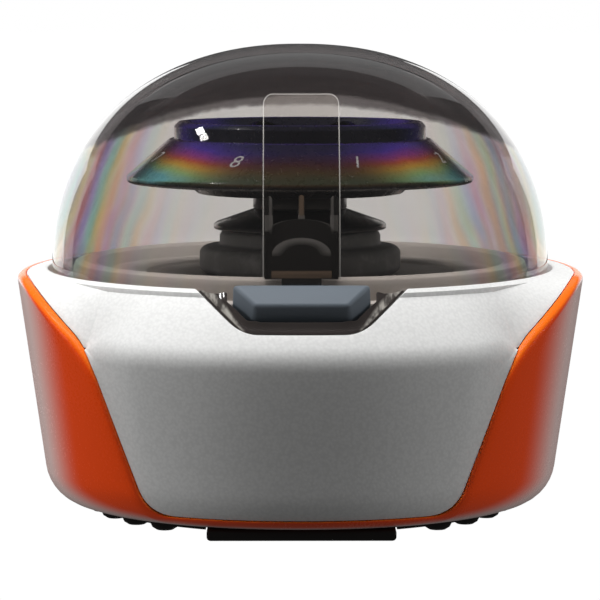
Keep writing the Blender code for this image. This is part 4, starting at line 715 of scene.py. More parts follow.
def rotor_plastic(name, colour):
    """Near-black glossy plastic with a painted sheen at a slant, from blue over purple, red and yellow to
    green.
    """
    finish, place = new_finish(name)
    streaks = finish.noise(place, 700.0, 3.0)
    facing = finish.facing()
    swirl = finish.noise(place, 45.0, 2.0) - 0.5
    height = finish.part(place, "Z")
    rim = (DECK_Z + 23.6) * MM
    drop = finish.step(height, rim + 0.0009, rim + 0.0124, 1.0, 0.0)
    travel = drop * 0.72 + facing * 0.5 + swirl * 0.25
    stops = [
        (0.2, (0.012, 0.014, 0.05)),
        (0.36, (0.05, 0.025, 0.2)),
        (0.5, (0.17, 0.03, 0.14)),
        (0.62, (0.3, 0.06, 0.03)),
        (0.75, (0.38, 0.22, 0.035)),
        (0.88, (0.2, 0.3, 0.12)),
        (1.0, (0.1, 0.28, 0.3)),
    ]
    sheen = finish.add("ValToRGB", {"stops": stops}, {0: travel})
    # The sheen is painted into the base colour where the cone is seen at a slant
    painted_sheen_share = finish.step(facing, 0.32, 0.52) * (1 - finish.step(facing, 0.55, 0.8)) * 0.8 + 0.1
    painted_sheen_share = painted_sheen_share * finish.step(height, rim, rim + 0.001)
    base = finish.blend(streaks, shade(colour, 0.8), shade(colour, 1.3))
    base = finish.blend(painted_sheen_share, base, sheen)
    coat = {"Coat_Weight": 0.6, "Coat_Roughness": 0.08}
    return finish.surface(base, 0.24 + 0.08 * streaks, finish.bump(streaks, 0.004), **coat)


def bezel_plastic(name, colour):
    """Smoke plastic with painted highlights in pale streaks at its two ends, dark elsewhere, with fine
    streaks.
    """
    finish, place = new_finish(name)
    side = abs(finish.part(place, "X"))
    drawn = finish.add("Mapping", values={"Vector": place, "Scale": (1.0, 0.3, 0.3)})
    streaks = finish.noise(drawn, 420.0, 3.0, 0.65)
    outer = BEZEL_LOW[0] * MM + BEZEL_LEAN * (finish.part(place, "Z") - BEZEL_LOW[1] * MM) - side
    taper = (OPENING_REAR[0] - OPENING_FRONT[0]) / (OPENING_REAR[1] - OPENING_FRONT[1])
    behind = finish.part(place, "Y") - OPENING_REAR[1] * MM - AXIS_Y
    inner = side - (OPENING_REAR[0] * MM + taper * behind)
    # Painted highlights: pale streaks at the bezel's two ends
    ends = finish.step(side, 0.0115, 0.0165) * finish.step(streaks, 0.4, 0.58, 0.08, 1.0)
    ends = ends * finish.step(outer, 0.0003, 0.0008) * finish.step(inner, 0.0005, 0.0014)
    base = finish.blend(ends, colour, (0.33, 0.31, 0.28, 1.0))
    return finish.surface(base, 0.08 + 0.14 * streaks, finish.bump(streaks, 0.05), Coat_Weight=0.8)


def latch_plastic(name, colour):
    """Dark smoke plastic with painted highlights along the crowns of its plate and boss and on its bars, and
    brown in its rib and foot.
    """
    finish, place = new_finish(name)
    flow = finish.noise(place, 240.0, 3.0)
    across = finish.part(place, "X") * 1000.0
    height = (finish.part(place, "Z") - DECK_Z * MM) * 1000.0
    side = abs(across)
    lift = (height - 8.4) / 4.2
    boss = ((across / 7.7) ** 2 + lift**2) ** 0.5
    # Painted highlights: pale bands along the crowns of the boss and plate and on the bars
    crown = finish.step(boss, 0.5, 0.93) * (1 - finish.step(boss, 0.94, 0.98)) * finish.step(height, 7.6, 9.4)
    plate = ((across / 9.1) ** 2 + ((height - 14.0) / 3.6) ** 2) ** 0.5
    ring = finish.step(plate, 0.82, 0.95) * finish.step(height, 13.8, 14.6)
    crown = crown + ring * (1 - finish.step(height, 18.0, 18.2)) * 0.8
    bars = finish.step(side, 7.2, 7.6) * (1 - finish.step(side, 7.9, 8.3)) * finish.step(height, 13.0, 16.0)
    foot = finish.step(height, 2.4, 2.7) * (1 - finish.step(height, 4.1, 4.5))
    rib = (1 - finish.step(side, 0.4, 0.8)) * finish.step(height, 17.5, 18.6)
    brown = foot * (1 - finish.step(side, 7.4, 7.7)) + rib
    base = finish.blend((crown + bars) * (0.55 + 0.45 * flow), colour, (0.17, 0.165, 0.16, 1.0))
    base = finish.blend(brown * 0.8, base, (0.17, 0.12, 0.085, 1.0))
    return finish.surface(base, 0.16 + 0.1 * flow, finish.bump(flow, 0.01), Coat_Weight=0.5)


def smoke_clear(name, tint, dark):
    """Smoke-tinted clear plastic: painted shade makes it darker at a slant near its top, with stress colours
    down its sides.
    """
    finish, place = new_finish(name)
    across = finish.part(place, "X")
    height = finish.part(place, "Z")
    facing = finish.facing()
    torn = finish.noise(place, 260.0, 4.0, 0.65) - 0.5
    drift = finish.noise(place, 26.0, 2.0) - 0.5
    # Painted shade: near the top, where the dome is seen at a slant, it turns to the dark tint
    level = height + 3.9 * across * across + 0.0022 * torn + 0.003 * drift
    slant = finish.step(level, 0.1088, 0.1102) * finish.step(facing, 0.2, 0.3)
    seen = finish.over(slant, finish.clear(tint), finish.clear(dark))
    side = abs(across)
    outer = finish.step(side, 0.036, 0.056) * (1 - slant)
    haze = finish.step(side, 0.012, 0.04) * finish.step(drift, -0.12, 0.12) * (1 - slant)
    travel = side * 105.0 + height * 34.0 + drift * 1.3
    tones = (
        (0.0, (0.8, 0.66, 0.4)),
        (0.3, (0.78, 0.5, 0.52)),
        (0.52, (0.6, 0.54, 0.74)),
        (0.78, (0.52, 0.7, 0.66)),
    )
    for shift, tone in tones:
        wave = (travel + shift).fraction()
        band = finish.step(wave, 0.0, 0.26) * (1 - finish.step(wave, 0.26, 0.5))
        seen = finish.over(band * (outer * 0.55 + haze * 0.12), seen, finish.clear((*tone, 1.0)))
    # The flat strip in the front: smoky inside, with a painted highlight as a pale line round it
    front = 1 - finish.step(finish.part(place, "Y"), -0.012, -0.01)
    corner = 2.5 * MM
    beyond = (side - ((WINDOW_HALF + 0.4) * MM - corner)).at_least(0.0)
    above = (height - ((DECK_Z + WINDOW_HIGH + 0.1) * MM - corner)).at_least(0.0)
    reach = (beyond * beyond + above * above) ** 0.5
    low = (DECK_Z + 2.5) * MM
    inside = front * (1 - finish.step(reach, corner, corner + 0.05 * MM))
    inside = inside * finish.step(height, low, low + 0.2 * MM)
    core = 1 - finish.step(reach, corner - 0.25 * MM, corner - 0.2 * MM)
    seen = finish.over(inside * core * 0.4, seen, finish.clear((0.7, 0.66, 0.63, 1.0)))
    # Painted highlight: a pale line along the strip's edge
    line = finish.add("BsdfDiffuse", values={"Color": (0.75, 0.72, 0.68, 1.0)})
    seen = finish.over(inside * (1 - core) * 0.3, seen, line)
    values = {"Roughness": 0.03, "Normal": finish.bump(finish.noise(place, 24.0, 2.0), 0.05)}
    gloss = finish.add("BsdfGlossy", values={"Color": (1.0, 1.0, 1.0, 1.0), **values})
    return finish.close(finish.over(0.04 + 0.96 * facing**5, seen, gloss))


def make_finishes(colours):
    """Every finish of the object by its plain name."""
    return {
        "white": leather_grain("white_cover_plastic", colours.cover, 0.42, 1300.0, 0.03),
        "orange": moulded("orange_shell_plastic", colours.shell, 0.27, 1300.0, 0.012, pale=0.82),
        "clear": smoke_clear("smoke_clear_plastic", colours.dome, colours.dome_painted_shade),
        "grey": moulded("grey_liner_plastic", colours.liner, 0.42, 1500.0, 0.02, 0.08),
        "black": moulded("black_plastic", colours.black, 0.3, 1500.0, 0.02, 0.1, 0.2),
        "cap": moulded("black_cap_plastic", colours.black, 0.24, 900.0, 0.008, 0.1, 0.3),
        "boot": rubber("grey_boot_rubber", (0.085, 0.082, 0.08, 1.0)),
        "rotor": rotor_plastic("rotor_plastic", colours.rotor),
        "rubber": rubber("black_rubber", colours.rubber),
        "button": moulded("button_plastic", colours.button, 0.36, 1400.0, 0.015, 0.04),
        "smoke": bezel_plastic("smoke_bezel_plastic", colours.bezel),
        "latch": latch_plastic("smoke_latch_plastic", (0.012, 0.011, 0.0105, 1.0)),
        "steel": metal("brushed_steel", (0.6, 0.6, 0.62, 1.0), 0.2, (1.0, 1.0, 8.0)),
        "turned_steel": metal("turned_steel", (0.55, 0.55, 0.56, 1.0), 0.18, (1.0, 1.0, 14.0)),
        "zinc": metal("zinc_screw", (0.62, 0.61, 0.58, 1.0), 0.28),
        "magnet": metal("nickel_magnet", (0.68, 0.66, 0.62, 1.0), 0.12),
        "board": circuit_board("green_board", (0.02, 0.14, 0.055, 1.0)),
        "red": moulded("red_lead", (0.5, 0.02, 0.02, 1.0), 0.4, 1800.0, 0.01),
        "print": moulded("number_print", (0.28, 0.27, 0.27, 1.0), 0.5, 2500.0, 0.004),
    }


# Pieces


def build_shell(sizes):
    """The orange shell: outer wall, rounded bead and inner wall as one loft, with the rear openings cut."""
    columns = []
    inner_floor = FLOOR_Z + SHELL_WALL
    for angle, top, outer_angle, outer_top in seam_columns(SEAM):
        column = floor_row(outline_point(outer_angle, FLOOR_Z), (0.0, 0.4, 0.8))
        turn_z = min(FLOOR_Z + CHINE_HEIGHT, FLOOR_Z + 0.6 * (outer_top - FLOOR_Z))
        rise = turn_z - FLOOR_Z
        heights = [FLOOR_Z + rise * (1 - math.cos(math.pi / 2 * k / 8)) for k in range(8)]
        heights += [turn_z + (outer_top - turn_z) * k / 8 for k in range(8)]
        column += [tuple(outline_point(outer_angle, z)) for z in heights]
        outer = outline_point(outer_angle, outer_top)
        crest = outline_point(angle, top)
        inner_top = max(top, inner_floor + 0.3)
        seam = outline_point(angle, inner_top, seam_depth(top))
        column += [tuple(curve_through(outer, crest, seam, k / 8)) for k in range(9)]
        turn_z = min(FLOOR_Z + CHINE_HEIGHT, inner_floor + 0.6 * (inner_top - inner_floor))
        rise = turn_z - inner_floor
        heights = [turn_z + (inner_top - turn_z) * k / 6 for k in range(6, -1, -1)]
        heights += [inner_floor + rise * (1 - math.cos(math.pi / 2 * k / 6)) for k in range(5, -1, -1)]
        column += [tuple(outline_point(angle, z, SHELL_WALL)) for z in heights]
        columns.append(column + floor_row(Vector(column[-1]), (0.8, 0.4, 0.0)))
    shell = weld(loft("orange_shell", mirrored(columns), around=True))
    cut_rear_openings(shell)
    return smooth(round_edges(weld(shell, 0.002), sizes.rim_round / MM, 2, 60.0))


def floor_row(foot, shares):
    """Points of the floor at these shares of the way from its middle out to the wall's foot."""
    return [(foot.x * share, (foot.y + MIDDLE_BACK) * share - MIDDLE_BACK, foot.z) for share in shares]


def cut_rear_openings(shell):
    """The round hole for the inlet and the square one for the switch."""
    near, far = REAR - 16, REAR + 6
    for node in ("dc_jack", "switch_housing"):
        low, high = (Vector(corner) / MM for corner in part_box(node))
        x, z = (low.x + high.x) / 2, (low.z + high.z) / 2
        if node == "dc_jack":
            cut(shell, rod("hole", 5.5, (x, near, z), (x, far, z), 48))
        else:
            wide, tall = (high.x - low.x) / 2 - 1.3, (high.z - low.z) / 2 - 2.0
            cut(shell, bar("hole", (x - wide, near, z - tall), (x + wide, far, z + tall)))


def slope_rows(end, edge, angle, count=10):
    """Points from the recess out to an end point. The corner in the slope's edge is spread inwards."""
    reach = math.hypot(end.x, end.y)
    rows = []
    for k in range(count + 1):
        radius = SLOPE_START + (reach - SLOPE_START) * k / count
        point = Vector((end.x * radius / reach, end.y * radius / reach, DECK_Z))
        target = edge.copy()
        if k < count:
            spread = SLOPE_SPREAD * (1 - k / count)
            around = [max(BREAK_Z, rim_at(min(0, angle + spread * i / 6))) for i in range(-6, 7)]
            target.z += sum(around) / len(around) - max(BREAK_Z, rim_at(min(0, angle)))
        point.z = slope_height(target, point)
        rows.append(tuple(point))
    return rows


def recess_rows(end):
    """The ledge, the recess wall and its rounded upper edge, below the deck towards an end point."""
    reach = math.hypot(end.x, end.y)
    section = [(LEDGE_RADIUS, LEDGE_Z), (RECESS, LEDGE_Z), (RECESS, DECK_Z - 3.0)]
    section += [(RECESS, DECK_Z - 0.5), (RECESS + 0.15, DECK_Z - 0.15)]
    return [(end.x * radius / reach, end.y * radius / reach, z) for radius, z in section]


def build_cover(sizes):
    """The white cover: recess, deck and slope as one sheet, running over the break into the front panel."""
    deck = []
    panel = []
    easing = sizes.break_round / MM
    for angle, z, _, _ in seam_columns(0.0):
        if z > BREAK_Z:
            end = outline_point(angle, z, seam_depth(z) + SEAM)
            deck.append(recess_rows(end) + slope_rows(end, end, angle))
            continue
        edge = break_point(angle)
        sink = break_sink(angle)
        drop = BREAK_Z - z
        reach = min(easing, 0.45 * drop)
        flat = slope_rows(edge, edge, angle)
        start = edge + (Vector(flat[-2]) - edge).normalized() * reach
        low = BREAK_Z - reach
        end = outline_point(angle, low, sink + (seam_depth(z) - sink) * eased(reach / drop))
        rows = slope_rows(start, edge, angle)[:-1]
        rows += [tuple(curve_through(start, edge, end, k / 8)) for k in range(9)]
        for k in range(1, 17):
            level = low + (z - low) * k / 16
            sunk = sink + (seam_depth(z) - sink) * eased((BREAK_Z - level) / drop)
            rows.append(tuple(outline_point(angle, level, sunk)))
        panel.append(recess_rows(edge) + rows)
    deck.append(panel[0][: len(deck[0])])
    body = loft("cover_sides", deck, around=False)
    front = loft("cover_front", panel, around=False)
    for piece in (body, front):
        weld(piece)
    cover = join("white_cover", body, front)
    modify(cover, "MIRROR", use_axis=(True, False, False), merge_threshold=0.01 * MM)
    face_up(weld(cover, 0.02))
    modify(cover, "SOLIDIFY", thickness=COVER_WALL * MM, offset=-1.0)
    shape = block("bezel_shape", [(x, -FRONT - 4, z) for x, z in bezel_outline(SEAM)], (0, 24.0, 0))
    cut(weld(cover, 0.005), shape)
    return smooth(round_edges(weld(cover, 0.002), sizes.seam_round / MM, 3, 50.0))


def bezel_outline(grow):
    """The bezel's outer line as seen from the front, from its left top round the bottom to its right top."""
    half, low = BEZEL_LOW
    half += grow
    low -= grow
    top = DECK_Z + 4.0
    side = (half + BEZEL_LEAN * BEZEL_CORNER * 0.6, low + BEZEL_CORNER * 0.6)
    bottom = (half - BEZEL_CORNER * 0.8, low)
    right = [curve_through(bottom, (half, low), side, i / 8) for i in range(9)]
    right.append(Vector((half + BEZEL_LEAN * (top - low), top)))
    return [(-x, z) for x, z in reversed(right)] + [(x, z) for x, z in right]


def slope_y(x, height):
    """Where the front slope reaches this height, beside the middle by x."""
    near, far = -60.0, -84.0
    for _ in range(24):
        middle = (near + far) / 2
        if slope_at(x, middle) > height:
            near = middle
        else:
            far = middle
    return near


def bezel_stations():
    """Pairs of (x, y) on the right, rear to front: the bezel's outer line on the slope, and its lip."""
    outline = [point for point in bezel_outline(0.0) if point[0] > 0][::-1]
    ends = tuple(zip(deck_end(*outline[:2]), outline[1]))
    outer = [tuple(high + (low - high) * i / 10 for high, low in ends) for i in range(10)] + outline[1:]
    outer += [(outer[-1][0] * (1 - i / 6), outer[-1][1]) for i in range(1, 7)]
    rear = OPENING_REAR
    front = (OPENING_FRONT[0], slope_y(OPENING_FRONT[0], LIP_HEIGHT))
    top = (rear[0], -math.sqrt(BEZEL_START**2 - rear[0] ** 2))
    inner = [top, tuple(Vector(top).lerp(Vector(rear), 0.5)), rear]
    inner += [tuple(Vector(rear).lerp(Vector(front), i / 10)) for i in range(1, 10)]
    turned = (front[0] - LIP_CORNER, front[1])
    inner += [tuple(curve_through(inner[-1], front, turned, i / 5)) for i in range(1, 6)]
    left = len(outer) - len(inner)
    for i in range(1, left + 1):
        x = turned[0] * (1 - i / left)
        inner.append((x, slope_y(x, LIP_HEIGHT)))
    starts = [(x, min(slope_y(x, z), -math.sqrt(BEZEL_START**2 - x * x))) for x, z in outer]
    return zip(starts, inner)


def deck_end(high, low):
    """Where the line from low to high comes just under the deck, as (x, z)."""
    rise = DECK_Z - 0.4 - low[1]
    return low[0] + (high[0] - low[0]) / (high[1] - low[1]) * rise, low[1] + rise


def build_bezel():
    """The smoke bezel: a dished rim that follows the slope round the button's opening."""
    columns = []
    for outer, inner in bezel_stations():
        places = [(*Vector(outer).lerp(Vector(inner), share), lift) for share, lift in BEZEL_SECTION]
        columns.append([(x, y, slope_at(x, y) + lift) for x, y, lift in places])
    left = [[(-x, y, z) for x, y, z in column] for column in reversed(columns[:-1])]
    bezel = weld(loft("smoke_bezel", columns + left, around=False), 0.005)
    return smooth(weld(fill_ends(bezel), 0.001))


def build_button(sizes):
    """The release button, from a cube drawn out to its eight corners, with its stem and wedge."""
    clear_selection()
    middle = world((0, -72.35, 60.0))
    bpy.ops.mesh.primitive_cube_add(size=2.0 * MM, location=middle)
    place_here()
    button = name_piece("release_cap")
    for vertex in button.data.vertices:
        side = math.copysign(1.0, vertex.co.x)
        rear = vertex.co.y > middle.y
        x, y, z = BUTTON_REAR if rear else BUTTON_FRONT
        if vertex.co.z < middle.z:
            x, y, z = x + BUTTON_FLARE, y if rear else BUTTON_LOW_FRONT, BUTTON_LOW
        vertex.co = world((side * x, y, z))
    weld(button, 0.001)
    round_edges(button, sizes.button_round / MM, 5, 20.0)
    low = Vector(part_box("release_button")[0]) / MM
    outline = [(-70.9, low.z), (-71.9, low.z), (-73.0, low.z + 2.6), (-73.0, 58.5), (-70.9, 58.5)]
    stem = block("stem", [(-2.5, y, z) for y, z in outline], (5.0, 0, 0))
    return smooth(unite(button, stem))


def build_spring(side):
    """One of the two coils under the button."""
    clear_selection()
    wire, radius, turns, steps = 0.3, 2.1, 5, 28
    place = (side * SPRING_PLACE[0], SPRING_PLACE[1])
    ring = {"vertices": 10, "radius": wire * MM, "location": (radius * MM, 0, 0)}
    bpy.ops.mesh.primitive_circle_add(rotation=(math.pi / 2, 0, 0), **ring)
    place_here()
    spring = name_piece("button_coil_" + ("right" if side > 0 else "left"))
    rise = (SPRING_HIGH - SPRING_LOW - 2 * wire) * MM / turns
    coil = {"screw_offset": rise, "iterations": turns, "steps": steps, "render_steps": steps}
    modify(spring, "SCREW", axis="Z", use_merge_vertices=False, **coil)
    fill_ends(spring)
    spring.location = world((*place, SPRING_LOW + wire))
    place_here()
    smooth(weld(spring, 0.0005), 60.0)
    hand_over(spring, "steel", "base", "steel", "button_spring_" + ("right" if side > 0 else "left"))
    world((*place, SPRING_LOW))
    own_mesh(spring)


def dome_radius_at(height, inset):
    """The dome's radius at a height above the deck."""
    share = min(1, max(0, height / (DOME_HEIGHT - inset)))
    return (DOME_RADIUS - inset) * (1 - share**DOME_POWER) ** (1 / DOME_POWER)


def dome_section(inset, count):
    """The dome's section from its top to the deck."""
    section = []
    for i in range(count + 1):
        angle = math.pi / 2 * i / count
        power = 2 / DOME_POWER
        radius = (DOME_RADIUS - inset) * math.sin(angle) ** power
        z = DECK_Z + (DOME_HEIGHT - inset) * math.cos(angle) ** power
        section.append((radius, DECK_Z if i == count else z))
    section[0] = (0.0, section[0][1])
    return section


def build_dome():
    """The clear dome, turned from its section, with the flat strip sunk into its front."""
    outer = dome_section(0.0, 40)
    inner = dome_section(DOME_WALL, 40)
    foot = [(DOME_RADIUS, DOME_SEAT), (DOME_RADIUS - DOME_WALL, DOME_SEAT)]
    dome = turn_piece("clear_dome", outer + foot + inner[::-1], 192)
    face = []
    for i in range(33):
        height = WINDOW_LOW + (WINDOW_HIGH - WINDOW_LOW) * i / 32
        face.append((-WINDOW_HALF, -dome_radius_at(height, 0) + WINDOW_RECESS, DECK_Z + height))
    far = -DOME_RADIUS - 4
    face += [(-WINDOW_HALF, far, DECK_Z + WINDOW_HIGH), (-WINDOW_HALF, far, DECK_Z + WINDOW_LOW)]
    cut(dome, block("window", face, (2 * WINDOW_HALF, 0, 0)))
    weld(dome, 0.002)
    return smooth(dome, 12.0)


def arch(middle, half, side, crown, foot, steps):
    """A closed outline with a rounded top, from foot up to side and on to crown, as (x, z)."""
    turns = [math.pi * i / steps for i in range(steps + 1)]
    top = [(middle + half * math.cos(turn), side + (crown - side) * math.sin(turn)) for turn in turns]
    return top + [(middle - half, foot), (middle + half, foot)]


def build_latch():
    """The latch moulding: an arched plate, two round-topped bars, a rib, a boss, its foot and the hook."""
    rise = LATCH_BAR_TOP - LATCH_LOW
    front = -math.sqrt((dome_radius_at(LATCH_LOW, DOME_WALL) - 0.6) ** 2 - LATCH_HALF**2)
    rear = -math.sqrt((dome_radius_at(LATCH_BAR_TOP, DOME_WALL) - 0.6) ** 2 - LATCH_HALF**2)
    low = DECK_Z + LATCH_LOW
    bar_middle = LATCH_HALF - 1.05
    bar_arch = (1.05, LATCH_BAR_TOP - 1.3, LATCH_BAR_TOP, LATCH_LOW + 0.05, 8)
    foot_half = LATCH_HALF - 1.7
    foot = [(foot_half, LATCH_LOW), (foot_half, 4.4), (-foot_half, 4.4), (-foot_half, LATCH_LOW)]
    # Name, outline, and where it starts and how deep it is behind the latch's front
    slabs = (
        ("latch_moulding", arch(0, LATCH_HALF - 0.2, 14.0, 17.6, LATCH_LOW, 16), 0.8, 1.4),
        ("bar", arch(-bar_middle, *bar_arch), 0.3, 2.3),
        ("bar", arch(bar_middle, *bar_arch), 0.3, 2.3),
        ("rib", arch(0, 0.8, 22.9, 23.7, 15.0, 8), 1.0, 1.5),
        ("boss", arch(0, LATCH_HALF - 1.6, 8.4, 12.6, LATCH_LOW, 16), 0.1, 1.2),
        ("foot", foot, -0.2, 1.2),
    )
    latch, *others = (
        block(name, [(x, front + start, DECK_Z + z) for x, z in outline], (0, deep, 0))
        for name, outline, start, deep in slabs
    )
    for other in others:
        unite(latch, other)
    lean = math.atan2(rear - front, rise)
    pivot = world((0, front, low))
    turn = Matrix.Rotation(-lean, 4, "X")
    latch.data.transform(Matrix.Translation(pivot) @ turn @ Matrix.Translation(-pivot))
    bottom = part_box("latch_striker")[0].z / MM
    stem = DOME_RADIUS - 3.6
    unite(latch, bar("strap", (-5.0, -stem, bottom), (5.0, -stem + 1.7, low + 1.4)))
    unite(latch, bar("lip", (-4.9, -stem - 1.55, bottom), (4.9, -stem + 0.8, bottom + 3.0)))
    return smooth(round_edges(weld(latch, 0.002), 0.25, 2, 30.0))


def build_chamber():
    """The grey liner: raised rim, step and floor turned in one, with its slot and screw posts."""
    section = [
        (59.0, 66.3), (61.4, 65.7), (62.0, 64.0), (62.0, 60.4), (68.35, 60.4), (68.35, 58.4), (55.0, 58.4),
        (53.0, 60.0), (14.0, 60.0), (14.0, 62.0), (41.2, 62.0), (42.0, 62.8), (53.0, 62.8), (55.6, 65.7),
    ]
    bowl = turn_piece("chamber_liner", section, 160, 0.35, 3, 20.0)
    cut(bowl, bar("hook_slot", (-6.2, -72.0, 56.0), (6.2, -62.0, 70.0)))
    for x, y in ((46, -36), (-46, -36), (44, 34), (-44, 34)):
        unite(bowl, rod("post", 4.0, (x, y, 6.1), (x, y, 59.4), 24))
    return smooth(bowl)


def outward(place):
    """The level direction from the rotor's axis through one of its places."""
    turn = math.radians(360.0 / PLACES * place + FIRST_PLACE - 90.0)
    return Vector((math.cos(turn), math.sin(turn), 0))


def build_rotor():
    """The rotor: cone, lip and bumped top turned in one, with eight slanted tube places bored in it."""
    section = [
        (31.95, 39.5), (33.0, 39.5), (34.3, 38.2), (34.3, 34.8), (35.6, 34.8), (46.7, 25.3), (47.3, 24.7),
        (47.3, 23.6), (46.7, 23.0), (31.0, 23.0), (28.0, 20.0), (5.2, 20.0), (5.2, 24.0), (16.6, 24.0),
        (31.3, 38.7),
    ]
    disc = turn_piece("rotor_cone", [(radius, DECK_Z + z) for radius, z in section], 160, 0.3, 3, 25.0)
    for i in range(PLACES):
        out = outward(i)
        along = (out - Vector((0, 0, 1))).normalized()
        mouth = out * 27.1 + Vector((0, 0, DECK_Z + 34.5))
        cut(disc, rod("tube_hole", 5.5, mouth - along * 4, mouth + along * 23.6, 40))
    return smooth(disc)


def build_numbers():
    """The eight place numbers, printed on the cone and read from outside."""
    slope = math.atan2(34.8 - 25.3, 46.7 - 35.6)
    radius = 41.0
    height = DECK_Z + 34.8 - (radius - 35.6) * math.tan(slope)
    made = []
    for i in range(PLACES):
        clear_selection()
        bpy.ops.object.text_add()
        text = bpy.context.object
        text.data.body = str(i + 1)
        text.data.size = 6.0 * MM
        text.data.align_x = "CENTER"
        text.data.align_y = "CENTER"
        text.data.shear = 0.25
        text.data.extrude = 0.04 * MM
        bpy.ops.object.convert(target="MESH")
        number = name_piece("number")
        out = outward(i)
        right = Vector((-out.y, out.x, 0))
        up = -out * math.cos(slope) + Vector((0, 0, math.sin(slope)))
        face = right.cross(up)
        place = Matrix((right, up, face)).transposed().to_4x4()
        place.translation = world(out * radius + Vector((0, 0, height)) + face * 0.03)
        number.matrix_world = place
        place_here()
        made.append(number)
    return weld(join("place_numbers", *made), 0.0005)


def build_hub():
    section = [(4.9, 92.0), (4.9, 83.7), (12.8, 83.7), (12.8, 79.9), (1.7, 79.9), (1.7, 92.0)]
    return smooth(turn_piece("rotor_hub_disc", section, 96, 0.25, 2, 40.0))


def build_knob():
    """The rotor's knob, with grip flutes round its side."""
    section = [(0.0, 98.0), (6.9, 98.0), (8.5, 96.4), (8.5, 88.3), (5.2, 88.3), (5.2, 92.6), (0.0, 92.6)]
    knob = turn_piece("rotor_grip", section, 72, 0.3, 3, 40.0)
    flutes = 12
    for i in range(flutes):
        turn = 2 * math.pi * i / flutes
        x, y = 9.0 * math.cos(turn), 9.0 * math.sin(turn)
        cut(knob, rod("flute", 0.9, (x, y, 89.3), (x, y, 99.0), 16))
    return smooth(knob)


def build_boot():
    section = [
        (20.8, 74.0), (22.0, 72.8), (22.0, 70.1), (26.3, 69.5), (27.5, 68.3), (27.5, 63.5), (26.3, 62.3),
        (17.0, 62.3), (17.0, 71.8), (3.5, 71.8), (3.5, 74.0),
    ]
    return smooth(turn_piece("rubber_boot", section, 128, 0.7, 4, 20.0))


def build_cap():
    section = [(12.8, 79.6), (22.7, 76.1), (23.6, 75.5), (23.6, 74.3), (3.5, 74.3), (3.5, 79.6)]
    return smooth(turn_piece("boot_cone", section, 128, 0.25, 3, 30.0))


def build_feet():
    """The rubber ring and its studs: one stud is turned, copied round and joined to the ring."""
    ring = turn_piece("rubber_studs", [(60.1, 3.1), (60.1, 2.1), (50.9, 2.1), (50.9, 3.1)], 128)
    section = [(0.0, 2.6), (4.0, 2.6), (3.9, 1.9), (3.3, 0.7), (2.2, 0.0), (0.0, 0.0)]
    first = turn_piece("stud", section, 24)
    studs = []
    count, radius, beside_bar = 32, 55.5, 28.0
    for i in range(count):
        angle = 2 * math.pi * (i + 0.5) / count
        x, y = radius * math.cos(angle), radius * math.sin(angle)
        if y < 0 and abs(x) < beside_bar:
            continue
        stud = first.copy()
        stud.data = first.data.copy()
        bpy.context.scene.collection.objects.link(stud)
        stud.location = (x * MM, y * MM, 0)
        pick(stud)
        place_here()
        studs.append(stud)
    bpy.data.objects.remove(first)
    for stud in studs:
        unite(ring, stud)
    ring.location = (0, -6.0 * MM, 0)
    pick(ring)
    place_here()
    cut(ring, bar("bar_gap", (-24.3, -66.6, -0.3), (24.3, -58.0, 3.4)))
    return smooth(ring, 40.0)


def build_foot_bar():
    foot = bar("rubber_bar", (-24.0, -66.3, 0.0), (24.0, -58.3, 3.1))
    return smooth(round_edges(foot, 1.0, 4, 40.0), 40.0)


# The user's sizes and colours


def length_property(name, description, millimetres):
    settings = {"name": name, "description": description, "unit": "LENGTH"}
    return bpy.props.FloatProperty(default=millimetres * MM, **settings)


class CentrifugeSizes(bpy.types.PropertyGroup):
    """Roundings that the photograph shows."""

    rim_round: length_property("Rim rounding", "Radius on the orange rim", 0.9)
    seam_round: length_property("Seam rounding", "Radius along the white cover's seam", 0.5)
    break_round: length_property("Break rounding", "Reach of the rounding between slope and front", 3.4)
    button_round: length_property("Button rounding", "Radius on the button's edges", 0.9)


def colour_property(name, description, default):
    settings = {"name": name, "description": description, "subtype": "COLOR"}
    return bpy.props.FloatVectorProperty(default=(*default, 1.0), size=4, min=0.0, max=1.0, **settings)


class CentrifugeColours(bpy.types.PropertyGroup):
    """Colours of the visible finishes."""

    cover: colour_property("Cover", "White cover", (0.78, 0.78, 0.77))
    shell: colour_property("Shell", "Orange shell", (1.0, 0.078, 0.003))
    dome: colour_property("Dome", "Dome, seen face on", (0.86, 0.85, 0.84))
    dome_painted_shade: colour_property("Dome slant", "Dome, seen at a slant", (0.42, 0.40, 0.40))
    liner: colour_property("Liner", "Chamber liner", (0.42, 0.38, 0.35))
    black: colour_property("Black", "Black plastic", (0.014, 0.013, 0.014))
    rotor: colour_property("Rotor", "Rotor plastic", (0.008, 0.0075, 0.011))
    rubber: colour_property("Rubber", "Feet", (0.006, 0.0045, 0.004))
    button: colour_property("Button", "Release button", (0.125, 0.147, 0.172))
    bezel: colour_property("Bezel", "Smoke bezel", (0.032, 0.026, 0.024))


# What each node that stays is made of
CARRIED = {
    "white": ("hinge_ear_left", "hinge_ear_right"),
    "clear": ("lid_hinge_arm",),
    "steel": ("motor_can", "motor_plate", "hinge_pin"),
    "turned_steel": ("motor_shaft",),
    "zinc": (
        *("motor_screw_1", "motor_screw_2", "motor_screw_3", "board_screw_1", "board_screw_2"),
        *("case_screw_1", "case_screw_2", "case_screw_3", "case_screw_4"),
    ),
    "magnet": ("lid_magnet",),
    "black": (
        *("motor_endcap", "lid_sensor", "dc_jack", "switch_housing", "power_rocker"),
        *("latch_slider", "latch_bracket", "motor_lead_black"),
    ),
    "rubber": ("motor_damper_1", "motor_damper_2", "motor_damper_3"),
    "board": ("control_board",),
    "red": ("motor_lead_red",),
}


class PieceOperator(bpy.types.Operator):
    """Shared by the operators below."""

    bl_options = {"REGISTER", "UNDO"}


